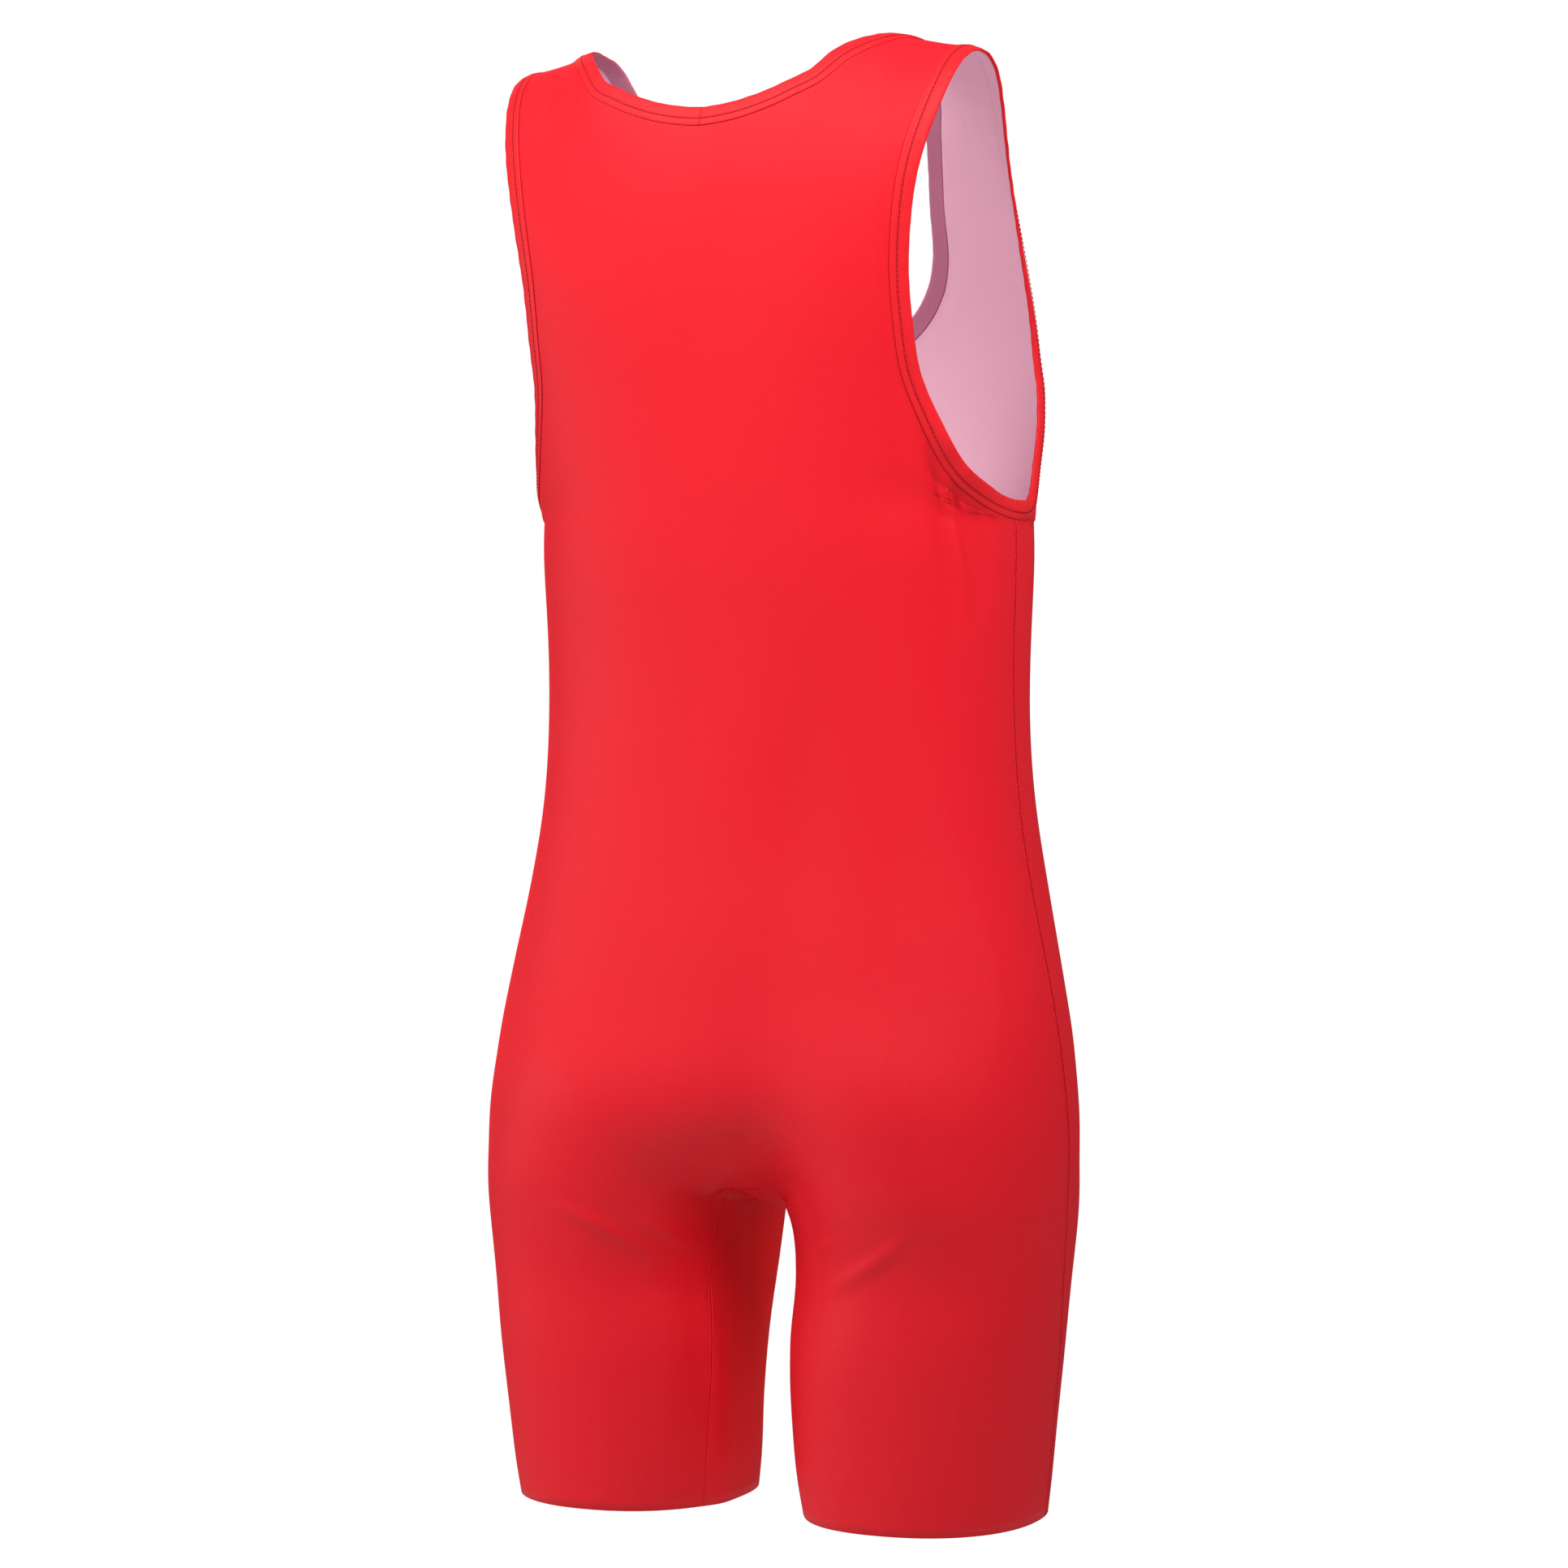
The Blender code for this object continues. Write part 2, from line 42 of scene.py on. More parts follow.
# The worn form. Change a row to change the shape; every piece below follows it.
form = {
    # height, half width, back depth, front depth, centre y, exponent
    "trunk": np.array([
        (-0.700, 0.115, 0.098, 0.086, 0.006, 2.20),
        (-0.665, 0.150, 0.104, 0.090, 0.006, 2.20),
        (-0.642, 0.169, 0.108, 0.093, 0.006, 2.20),
        (-0.618, 0.1775, 0.110, 0.096, 0.006, 2.20),
        (-0.594, 0.178, 0.110, 0.099, 0.006, 2.20),
        (-0.546, 0.170, 0.104, 0.102, 0.004, 2.20),
        (-0.498, 0.159, 0.098, 0.103, 0.001, 2.25),
        (-0.450, 0.150, 0.094, 0.103, 0.000, 2.30),
        (-0.400, 0.146, 0.094, 0.103, 0.000, 2.30),
        (-0.350, 0.145, 0.098, 0.106, 0.000, 2.35),
        (-0.310, 0.146, 0.103, 0.108, 0.000, 2.42),
        (-0.279, 0.146, 0.106, 0.110, 0.000, 2.50),
    ]),
    # height, centre x, half width, half depth, centre y, exponents outside, inside behind, inside in front
    "legs": np.array([
        (-0.857, 0.0930, 0.0680, 0.0753, 0.008, 2.20, 2.20, 2.20),
        (-0.840, 0.0932, 0.0697, 0.0767, 0.009, 2.25, 2.25, 2.25),
        (-0.800, 0.0942, 0.0720, 0.0800, 0.010, 2.30, 2.30, 2.30),
        (-0.760, 0.0952, 0.0751, 0.0833, 0.010, 2.35, 2.10, 2.45),
        (-0.720, 0.0960, 0.0779, 0.0870, 0.008, 2.35, 1.80, 2.75),
        (-0.690, 0.0955, 0.0815, 0.0915, 0.007, 2.30, 1.80, 2.60),
        (-0.660, 0.0925, 0.0860, 0.0955, 0.008, 2.20, 2.00, 2.40),
        (-0.620, 0.0850, 0.0825, 0.0900, 0.010, 2.10, 2.10, 2.20),
        (-0.580, 0.0760, 0.0700, 0.0830, 0.010, 2.00, 2.00, 2.00),
        (-0.530, 0.0680, 0.0600, 0.0700, 0.006, 2.00, 2.00, 2.00),
        (-0.450, 0.0600, 0.0500, 0.0500, 0.003, 2.00, 2.00, 2.00),
        (-0.270, 0.0500, 0.0500, 0.0500, 0.000, 2.00, 2.00, 2.00),
    ]),
    # height, half width, depth, centre y, exponent
    "upperBack": np.array([
        (-0.279, 0.1460, 0.1060, 0.000, 2.50),
        (-0.240, 0.1475, 0.1100, 0.000, 2.65),
        (-0.200, 0.1495, 0.1145, 0.000, 2.95),
        (-0.180, 0.1560, 0.1170, 0.000, 3.00),
        (-0.140, 0.1700, 0.1210, 0.000, 3.00),
        (-0.100, 0.1880, 0.1225, 0.000, 3.00),
    ]),
    "upperFront": np.array([
        (-0.279, 0.1460, 0.1100, 0.000, 2.50),
        (-0.266, 0.1455, 0.1090, -0.002, 2.54),
        (-0.250, 0.1440, 0.1030, -0.010, 2.60),
        (-0.225, 0.1430, 0.0920, -0.023, 2.70),
        (-0.200, 0.1405, 0.0820, -0.034, 2.70),
    ]),
    # x, height of the shoulder line
    "crest": np.array([
        (0.000, 0.002), (0.050, 0.010), (0.075, 0.007), (0.090, -0.002),
        (0.105, -0.008), (0.120, -0.0115), (0.135, -0.014), (0.150, -0.018),
    ]),
    "crestY": 0.045,
    "backRise": 2.4,
    # level from chest to shoulder line, reach in y, rise in z
    "frontRise": np.array([
        (0.00, 1.000, 0.000), (0.15, 0.985, 0.130), (0.30, 0.915, 0.250),
        (0.45, 0.780, 0.390), (0.60, 0.590, 0.550), (0.75, 0.380, 0.730),
        (0.88, 0.190, 0.915), (0.95, 0.085, 0.985), (1.00, 0.000, 1.000),
    ]),
    # level, half width
    "frontStrap": np.array([
        (0.000, 0.1405), (0.120, 0.1375), (0.240, 0.1370), (0.460, 0.1380),
        (0.655, 0.1390), (0.790, 0.1415), (0.905, 0.1425), (1.000, 0.1387),
    ]),
    "coreTop": -0.598, "coreBottom": -0.681,  # the trunk's rounded underside
    "legJoin": 0.016, "trunkJoin": 0.026, "legSize": 0.085, "trunkSize": 0.11,
}

# one run of sections for each face: height, half width, depth, centre y, exponent
form["backSections"] = np.concatenate([form["trunk"][:, [0, 1, 2, 4, 5]], form["upperBack"][1:]])
form["frontSections"] = np.concatenate([form["trunk"][:, [0, 1, 3, 4, 5]], form["upperFront"][1:]])

# Where the panels are cut
cut = {
    "hem": -0.857, "inseamTop": -0.676, "underarm": -0.279, "frontBase": -0.20, "backBase": -0.10,
    # step, section angle in degrees, height
    "backArmhole": np.array([
        (0.00, 2.0, -0.2790), (0.12, 15.0, -0.2735), (0.25, 30.0, -0.2578), (0.35, 37.3, -0.2400),
        (0.45, 43.2, -0.2200), (0.56, 48.5, -0.2000), (0.67, 52.5, -0.1800), (0.84, 57.8, -0.1400),
        (1.00, 61.0, -0.1000),
    ]),
    "frontArmhole": np.array([
        (0.0, 2.0, -0.2790), (0.2, 9.0, -0.2765), (0.4, 15.0, -0.2680),
        (0.6, 18.5, -0.2520), (0.8, 18.7, -0.2280), (1.0, 17.5, -0.2000),
    ]),
    # level, x
    "backStrapEdge": np.array([
        (0.00, 0.1160), (0.10, 0.1185), (0.23, 0.1235), (0.42, 0.1285), (0.70, 0.1320), (1.00, 0.1340),
    ]),
    # level, section angle in degrees
    "frontStrapEdge": np.array([(0.00, 17.5), (0.25, 18.5), (0.50, 18.5), (0.75, 17.5), (1.00, 17.0)]),
    # x, level
    "backNeck": np.array([
        (0.0000, 0.2145), (0.0100, 0.2155), (0.0300, 0.228), (0.0570, 0.290), (0.0750, 0.375),
        (0.0840, 0.500), (0.0940, 0.650), (0.1000, 0.767), (0.1065, 1.000),
    ]),
    "frontNeck": np.array([
        (0.0000, 0.1270), (0.0080, 0.1290), (0.0220, 0.150), (0.0420, 0.225),
        (0.0560, 0.305), (0.0660, 0.380), (0.0730, 0.460),
        (0.0795, 0.570), (0.0860, 0.655), (0.0945, 0.760), (0.1020, 0.860), (0.1065, 1.000),
    ]),
    # height, angle in degrees behind the widest line
    "sideSeam": np.array([
        (-0.857, -15.0), (-0.760, -13.0), (-0.700, -5.0), (-0.640, 0.0), (-0.500, 2.0), (-0.279, 2.0),
    ]),
    "inseamAtHem": 147.5,
}

# Rows and columns of half a panel
mesh = {
    "columns": 84, "neckColumns": 70, "innerColumns": 26, "fine": 500,
    "legRows": 46, "crotchRows": 18, "trunkRows": 76,
    "backArmholeRows": 42, "frontArmholeRows": 30, "backYokeRows": 52, "frontYokeRows": 62,
}


def smoothCurve(table, at):
    # cubic curve through the rows of a table, read at values of its first column
    knots, values = table[:, 0], table[:, 1:]
    slopes = np.gradient(values, knots, axis=0)
    at = np.clip(np.asarray(at, float), knots[0], knots[-1])
    i = np.clip(np.searchsorted(knots, at, side="right") - 1, 0, len(knots) - 2)
    h = (knots[i + 1] - knots[i])[..., None]
    t = (at[..., None] - knots[i][..., None]) / h
    found = (2 * t**3 - 3 * t**2 + 1) * values[i] + (t**3 - 2 * t**2 + t) * h * slopes[i]
    found += (3 * t**2 - 2 * t**3) * values[i + 1] + (t**3 - t**2) * h * slopes[i + 1]
    return np.moveaxis(found, -1, 0)


def softMin(a, b, width):
    # the smaller of two fields, rounded where they cross
    h = np.clip(0.5 + 0.5 * (b - a) / width, 0, 1)
    return b + (a - b) * h - width * h * (1 - h)


def legField(x, y, z):
    # rounded section: |x - cx| / a and |y - cy| / b to a power, summed; 0 on the leg, below 0 inside
    cx, a, b, cy, outside, behind, inFront = smoothCurve(form["legs"], z)
    power = np.where(x > cx, outside, np.where(y > cy, behind, inFront))
    return ((np.abs(x - cx) / a) ** power + (np.abs(y - cy) / b) ** power) ** (1 / power) - 1


def bodyField(x, y, z):
    # the trunk's section, its depth closing as a quarter ellipse at the crotch, joined softly to the legs
    behind, inFront = smoothCurve(form["backSections"], z), smoothCurve(form["frontSections"], z)
    width, depth, centre, power = np.where(y > behind[2], behind, inFront)
    sink = np.clip((form["coreTop"] - z) / (form["coreTop"] - form["coreBottom"]), 0, 0.9999)
    depth = depth * np.sqrt(1 - sink**2)
    core = ((np.abs(x) / width) ** power + (np.abs(y - centre) / depth) ** power) ** (1 / power) - 1
    core = form["trunkSize"] * core + np.where(z < form["coreBottom"], 1.0, 0.0)
    size = form["legSize"]
    legs = softMin(size * legField(x, y, z), size * legField(-x, y, z), form["legJoin"])
    return softMin(core, legs, form["trunkJoin"])


def halved(low, high, inside):
    # halves a span again and again until it holds the place where inside() changes
    for _ in range(36):
        middle = 0.5 * (low + high)
        keep = inside(middle)
        low, high = np.where(keep, middle, low), np.where(keep, high, middle)
    return 0.5 * (low + high)


def legAxis(z):
    cx, _, _, cy = smoothCurve(form["legs"], z)[:4]
    return cx, cy


def onRay(angle, z):
    # level ray from the leg's axis out to the form, no further than the centre plane
    angle, z = np.broadcast_arrays(np.asarray(angle, float), np.asarray(z, float))
    cx, cy = legAxis(z)
    c, s = np.cos(angle), np.sin(angle)
    far = np.minimum(0.3, cx / np.maximum(-c, 1e-6))
    r = halved(np.zeros(z.shape), far, lambda r: bodyField(cx + r * c, cy + r * s, z) < 0)
    return np.stack([cx + r * c, cy + r * s, z], -1)


def centreY(z, side):
    z = np.asarray(z, float)
    _, cy = legAxis(z)
    return halved(cy, cy + side * 0.3, lambda y: bodyField(np.zeros(z.shape), y, z) < 0)


def centreHeight(y):
    high, low = np.full(y.shape, form["coreTop"]), np.full(y.shape, -0.72)
    return halved(high, low, lambda z: bodyField(np.zeros(y.shape), y, z) < 0)


def centreAngle(z, side):
    cx, cy = legAxis(z)
    found = np.arctan2(centreY(z, side) - cy, -cx)
    return found if side > 0 else np.where(found > 0, found - 2 * np.pi, found)


def inseamAngle(z, side):
    # the seam's angle round the leg, turning with the square of the height to meet the centre plane
    q = np.clip((z - cut["hem"]) / (cut["inseamTop"] - cut["hem"]), 0, 1) ** 2
    low = side * np.radians(cut["inseamAtHem"])
    return low + (centreAngle(np.full(np.shape(z), cut["inseamTop"]), side) - low) * q


def running(line):
    # length along a line from its start to each of its points
    return np.concatenate([[0], np.cumsum(np.linalg.norm(np.diff(line, axis=0), axis=1))])


def readAt(values, run, at):
    # the values at lengths at along a line, read between its points at lengths run
    return np.stack([np.interp(at, run, values[:, k]) for k in range(values.shape[1])], 1)


def unit(vectors):
    return vectors / np.linalg.norm(vectors, axis=1)[:, None]


def squareTo(normals, along):
    # unit normals with their share along the line taken out
    return unit(normals - (normals * along).sum(1)[:, None] * along)


def evenly(line, count):
    # points evenly spaced along a fine line
    run = running(line)
    return readAt(line, run, np.linspace(0, run[-1], count + 1))


def lowRows(heights, side):
    # level rows from the centre or the inseam round to the side seam
    heights = np.asarray(heights)
    start = np.where(heights < cut["inseamTop"], inseamAngle(heights, side), centreAngle(heights, side))
    stop = np.radians(smoothCurve(cut["sideSeam"], heights)[0])
    share = np.linspace(0, 1, mesh["fine"])
    fine = onRay(start[:, None] + (stop - start)[:, None] * share, heights[:, None])
    return np.stack([evenly(line, mesh["columns"]) for line in fine])


def upperRow(face, step):
    # rounded section above the underarm, from the centre plane to the armhole
    table = form["backSections"] if face > 0 else form["frontSections"]
    angle, z = smoothCurve(cut["backArmhole"] if face > 0 else cut["frontArmhole"], step)
    a, depth, centre, power = smoothCurve(table, z)
    turn = np.linspace(np.pi / 2, np.radians(angle), mesh["fine"])
    x, y = a * np.cos(turn) ** (2 / power), centre + face * depth * np.sin(turn) ** (2 / power)
    return evenly(np.stack([x, y, np.full(len(x), z)], 1), mesh["columns"])


def yokePoint(x, level, face):
    # the top of a panel: its chest section drawn in y and lifted in z until it meets the shoulder line
    crest = smoothCurve(form["crest"], x)[0]
    if face > 0:
        a, depth, centre, power = form["upperBack"][-1, 1:]
        turn = level * np.pi / 2
        reach, rise = np.cos(turn) ** (2 / form["backRise"]), np.sin(turn) ** (2 / form["backRise"])
        base = cut["backBase"]
    else:
        _, depth, centre, power = form["upperFront"][-1, 1:]
        a = smoothCurve(form["frontStrap"], level)[0]
        reach, rise = smoothCurve(form["frontRise"], level)
        base = cut["frontBase"]
    y = centre + face * depth * np.maximum(1 - (x / a) ** power, 0) ** (1 / power)
    return np.stack([x, form["crestY"] + (y - form["crestY"]) * reach, base + (crest - base) * rise], -1)


def strapEdge(level, face):
    if face > 0:
        return smoothCurve(cut["backStrapEdge"], level)[0]
    angle = np.radians(smoothCurve(cut["frontStrapEdge"], level)[0])
    return smoothCurve(form["frontStrap"], level)[0] * np.cos(angle) ** (2 / form["upperFront"][-1, 4])


def evenPlaces(x, level, face, count):
    # places (x, level) evenly spaced on the cloth along a line of places
    run = running(yokePoint(x, level, face))
    return readAt(np.stack([x, level], 1), run, np.linspace(0, run[-1], count + 1))


def yokeRows(lastRow, face):
    # places blended from four borders: last row, neck seam with shoulder line, centre line, armhole
    neck = cut["backNeck"] if face > 0 else cut["frontNeck"]
    columns, neckColumns = mesh["columns"], mesh["neckColumns"]
    count = mesh["backYokeRows"] if face > 0 else mesh["frontYokeRows"]
    fineX = np.linspace(neck[0, 0], neck[-1, 0], 2000)
    fineLevel = np.maximum.accumulate(smoothCurve(neck, fineX)[0])
    seam = evenPlaces(fineX, fineLevel, face, neckColumns)
    crestX = np.linspace(neck[-1, 0], strapEdge(1.0, 1), columns - neckColumns + 1)[1:]
    top = np.concatenate([seam, np.stack([crestX, np.ones(len(crestX))], 1)])
    bottom = np.stack([lastRow[:, 0], np.zeros(columns + 1)], 1)
    fine = np.linspace(0, 1, 2000)
    left = evenPlaces(0 * fine, fine * neck[0, 1], face, count)
    right = evenPlaces(strapEdge(fine, face), fine, face, count)
    right[-1, 0] = top[-1, 0]
    u = np.linspace(0, 1, columns + 1)[None, :, None]
    w = np.linspace(0, 1, count + 1)[:, None, None]
    place = (1 - w) * bottom + w * top + (1 - u) * left[:, None] + u * right[:, None]
    place -= (1 - u) * ((1 - w) * bottom[0] + w * top[0]) + u * ((1 - w) * bottom[-1] + w * top[-1])
    return yokePoint(np.maximum(place[..., 0], 0), np.clip(place[..., 1], 0, 1), face)[1:]


def halfPanel(face):
    rise = np.sin(np.linspace(0, np.pi / 2, mesh["legRows"] + 1))
    turn = 1 - np.cos(np.linspace(0, np.pi / 2, mesh["crotchRows"] + 1)[1:])
    top, core = cut["inseamTop"], form["coreTop"]
    trunk = np.linspace(core, cut["underarm"], mesh["trunkRows"] + 1)[1:]
    heights = np.concatenate([cut["hem"] + (top - cut["hem"]) * rise, top + (core - top) * turn, trunk])
    low = lowRows(heights, face)
    count = mesh["backArmholeRows"] if face > 0 else mesh["frontArmholeRows"]
    upper = np.stack([upperRow(face, step) for step in np.linspace(0, 1, count + 1)[1:]])
    return softened(np.concatenate([low, upper, yokeRows(upper[-1], face)]))


def stepsUp(grid):
    # distance from each row to the next, measured square to the row
    delta = np.diff(grid, axis=0)
    along = np.gradient(grid, axis=1)[:-1]
    along /= np.maximum(np.linalg.norm(along, axis=2), 1e-9)[..., None]
    return np.linalg.norm(delta - (delta * along).sum(2)[..., None] * along, axis=2)


# How the panels are softened: reach of the bell curve, the heights and shares of columns where it is
# held back, and the groove on the centre plane, whose columns are averaged with their mirror image
soft = {
    "reach": 0.012, "fade": 0.035, "crotchColumns": 0.16, "sideColumns": 0.20,
    "crotchTop": -0.60, "underarmLow": -0.335, "underarmHigh": -0.13, "holdLow": 0.03, "holdHigh": 0.06,
    "grooveColumns": 48, "grooveFrom": 30, "grooveFade": 15, "grooveMirror": 24, "groovePasses": 24,
    "grooveRise": 0.012, "grooveTop": -0.30, "grooveFall": 0.05,
}


def softened(grid):
    # every column averaged along its length with a bell curve, so that no table row shows as a ring;
    # the hem, the neck seam, the crotch corner and the underarm corner stay, and the halves meet at x = 0
    low = mesh["legRows"] + mesh["crotchRows"] + mesh["trunkRows"]
    steps = np.concatenate([np.diff(grid[: low + 1, 0, 2]), stepsUp(grid[low:]).mean(1)])
    place = np.concatenate([[0], np.cumsum(steps)])
    reach = soft["reach"] * np.clip(np.minimum(place, place[-1] - place) / soft["fade"], 0.01, 1)
    weight = np.exp(-0.5 * ((place[:, None] - place) / reach[:, None]) ** 2) * np.gradient(place)
    even = np.tensordot(weight / weight.sum(1)[:, None], grid, 1)
    u = np.linspace(0, 1, grid.shape[1])
    centreZ, edgeZ = grid[:, :1, 2], grid[:, -1:, 2]
    atCrotch = np.clip((soft["crotchTop"] - centreZ) / soft["holdLow"], 0, 1)
    atCrotch = atCrotch * np.exp(-((u / soft["crotchColumns"]) ** 4))
    underarm = np.clip((edgeZ - soft["underarmLow"]) / soft["holdLow"], 0, 1)
    underarm = underarm * np.clip((soft["underarmHigh"] - edgeZ) / soft["holdHigh"], 0, 1)
    keep = np.maximum(atCrotch, underarm * np.exp(-(((1 - u) / soft["sideColumns"]) ** 4)))
    even = even + keep[..., None] * (grid - even)
    even[mesh["legRows"] :, 0, 0] = 0
    # the groove on the centre plane above the crotch, averaged across with its mirror image
    height = even[:, :1, 2:]
    share = np.clip((height - cut["inseamTop"]) / soft["grooveRise"], 0, 1)
    share = share * np.clip((soft["grooveTop"] - height) / soft["grooveFall"], 0, 1)
    near, image = soft["grooveColumns"] + 1, soft["grooveMirror"]
    mirrored = np.concatenate([even[:, image:0:-1] * [-1, 1, 1], even[:, :near]], 1)
    for _ in range(soft["groovePasses"]):
        mirrored[:, 1:-1] = 0.25 * mirrored[:, :-2] + 0.5 * mirrored[:, 1:-1] + 0.25 * mirrored[:, 2:]
    fade = np.clip((soft["grooveFrom"] - np.arange(near)) / soft["grooveFade"], 0, 1)[:, None]
    even[:, :near] += share * fade * (mirrored[:, image:] - even[:, :near])
    return even


def innerThigh(heights):
    # the front's part between its two inseam lines, up to the arch under the crotch
    backY, frontY = centreY(np.full(2, cut["inseamTop"]), np.array([1.0, -1.0]))
    v = np.linspace(0, 1, mesh["innerColumns"] + 1)
    y = frontY + (backY - frontY) * v
    top = centreHeight(y)
    top[[0, -1]] = cut["inseamTop"]
    cx, cy = legAxis(top)
    last = np.arctan2(y - cy, -cx)
    last = np.where(last > 0, last - 2 * np.pi, last)
    q = ((heights - cut["hem"]) / (cut["inseamTop"] - cut["hem"]))[:, None]
    firstFront, firstBack = inseamAngle(cut["hem"], -1), inseamAngle(cut["hem"], 1) - 2 * np.pi
    first = firstFront + (firstBack - firstFront) * v
    angle = first + (last - first) * q**2
    angle[:, 0] = inseamAngle(heights, -1)
    angle[:, -1] = inseamAngle(heights, 1) - 2 * np.pi
    points = onRay(angle, cut["hem"] + (top - cut["hem"]) * q)
    points[-1] = np.stack([np.zeros(len(y)), y, top], 1)
    return points


# Folds, as seen from a direction: turn of that direction about Z in degrees, then start, bend and end
# of the fold (across to the right, height), its width and its lift (below 0 for a trough)
folds = np.array([
    (204.5, 0.0715, -0.152, 0.0853, -0.262, 0.0995, -0.352, 0.0058, -0.0060),  # below the right armhole
    (204.5, 0.0830, -0.202, 0.0991, -0.281, 0.1135, -0.342, 0.0050, -0.0056),
    (204.5, 0.1037, -0.244, 0.1120, -0.290, 0.1190, -0.332, 0.0044, -0.0030),
    (204.5, 0.0784, -0.189, 0.0922, -0.272, 0.1050, -0.338, 0.0042, 0.0034),
    (204.5, 0.014, -0.340, 0.0040, -0.470, -0.0040, -0.575, 0.0260, -0.0045),  # small of the back
    (204.5, -0.008, -0.500, -0.0180, -0.640, -0.0260, -0.790, 0.0400, -0.0100),  # middle of the seat
    (204.5, -0.012, -0.600, -0.0240, -0.670, -0.0180, -0.760, 0.0220, -0.0030),
    (204.5, -0.138, -0.674, -0.1030, -0.686, -0.0670, -0.716, 0.0040, 0.0028),  # below the seat
    (204.5, -0.096, -0.680, -0.0640, -0.693, -0.0380, -0.714, 0.0034, 0.0024),
    (204.5, 0.014, -0.724, 0.0420, -0.708, 0.0720, -0.680, 0.0036, 0.0028),
    (204.5, 0.013, -0.698, 0.0210, -0.694, 0.0290, -0.688, 0.0035, 0.0008),
    (204.5, -0.0505, -0.368, -0.0500, -0.385, -0.0510, -0.402, 0.0030, -0.0004),  # faint, small of the back
    (204.5, -0.0365, -0.340, -0.0360, -0.355, -0.0350, -0.370, 0.0030, -0.0003),
    (204.5, 0.0600, -0.280, 0.0595, -0.310, 0.0610, -0.338, 0.0040, -0.0005),
    (204.5, -0.0415, -0.690, -0.0400, -0.780, -0.0385, -0.900, 0.0080, 0.0030),  # inner back of the legs
    (155.5, 0.0415, -0.690, 0.0400, -0.780, 0.0385, -0.900, 0.0080, 0.0030),
    (0.0, -0.120, -0.262, -0.1120, -0.300, -0.1000, -0.345, 0.0070, -0.0018),  # front, below the armholes
    (0.0, 0.121, -0.260, 0.1160, -0.298, 0.1050, -0.352, 0.0070, -0.0015),
    (0.0, 0.107, -0.252, 0.1010, -0.280, 0.0900, -0.312, 0.0060, -0.0010),
    (0.0, -0.112, -0.598, -0.0750, -0.628, -0.0350, -0.664, 0.0080, -0.0020),  # front, hip to crotch
    (0.0, 0.108, -0.604, 0.0720, -0.632, 0.0330, -0.665, 0.0080, -0.0017),
    (0.0, -0.070, -0.690, -0.0520, -0.684, -0.0330, -0.672, 0.0050, 0.0010),
    (0.0, 0.078, -0.694, 0.0560, -0.687, 0.0360, -0.673, 0.0050, 0.0009),
])
# Broad soft forms, seen in the same way: turn, across, height, reach across, reach up, lift
swells = np.array([
    (204.5, -0.122, -0.632, 0.060, 0.055, 0.0070),  # seat, its wearer's left and right halves
    (204.5, 0.062, -0.618, 0.062, 0.056, 0.0080),
    (204.5, -0.075, -0.574, 0.052, 0.046, -0.0042),
    (204.5, 0.030, -0.570, 0.050, 0.040, -0.0020),
    (204.5, -0.085, -0.722, 0.060, 0.026, -0.0036),
    (204.5, 0.062, -0.712, 0.060, 0.028, -0.0042),
    (204.5, -0.086, -0.130, 0.045, 0.070, 0.0030),  # shoulder blades
    (204.5, 0.030, -0.120, 0.050, 0.075, 0.0030),
    (0.0, -0.065, -0.225, 0.060, 0.055, 0.0050),  # chest
    (0.0, 0.065, -0.227, 0.060, 0.055, 0.0050),
    (0.0, 0.000, -0.440, 0.050, 0.090, -0.0020),
])
# How a fold is drawn, and how fast folds and swells fade where the cloth turns away
drawn = {"steps": 24, "endFade": 1.3, "foldFacing": 2.5, "swellFacing": 1.6}
# Long soft waves that keep the cloth from looking moulded: wave numbers in x, y, z and phase
waves = {
    "rows": np.array([(31, 14, 9, 0.4), (-17, 23, 26, 1.9), (11, -29, 41, 3.1), (43, 9, -19, 5.2)]),
    "lift": 0.00022,
}


def foldLift(points, normals):
    # each fold adds lift * exp(-(distance / width)^2), fading to its ends and where the cloth turns away
    total = waves["lift"] * np.sin(points @ waves["rows"][:, :3].T + waves["rows"][:, 3]).sum(1)
    for turn, middle, height, wide, tall, lift in swells:
        a = np.radians(turn)
        across = (points[:, 0] * np.cos(a) + points[:, 1] * np.sin(a) - middle) / wide
        facing = normals[:, 0] * np.sin(a) - normals[:, 1] * np.cos(a)
        facing = np.clip(drawn["swellFacing"] * facing, 0, 1)
        total += lift * facing * np.exp(-(across**2) - ((points[:, 2] - height) / tall) ** 2)
    for turn, x0, z0, x1, z1, x2, z2, width, lift in folds:
        a = np.radians(turn)
        across = points[:, 0] * np.cos(a) + points[:, 1] * np.sin(a)
        facing = normals[:, 0] * np.sin(a) - normals[:, 1] * np.cos(a)
        t = np.linspace(0, 1, drawn["steps"] + 1)[:, None]
        bend = (1 - t) ** 2 * (x0, z0) + 2 * t * (1 - t) * (x1, z1) + t**2 * (x2, z2)
        best, place = np.full(len(points), 9.0), np.zeros(len(points))
        flat = np.stack([across, points[:, 2]], 1)
        for k in range(drawn["steps"]):
            step = bend[k + 1] - bend[k]
            s = np.clip((flat - bend[k]) @ step / (step @ step), 0, 1)
            d = np.linalg.norm(flat - bend[k] - s[:, None] * step, axis=1)
            near = d < best
            best, place = np.where(near, d, best), np.where(near, (k + s) / drawn["steps"], place)
        fade = np.sin(np.pi * np.clip(place, 0, 1)) ** drawn["endFade"]
        fade = fade * np.clip(facing * drawn["foldFacing"], 0, 1)
        total += lift * fade * np.exp(-((best / width) ** 2))
    return total


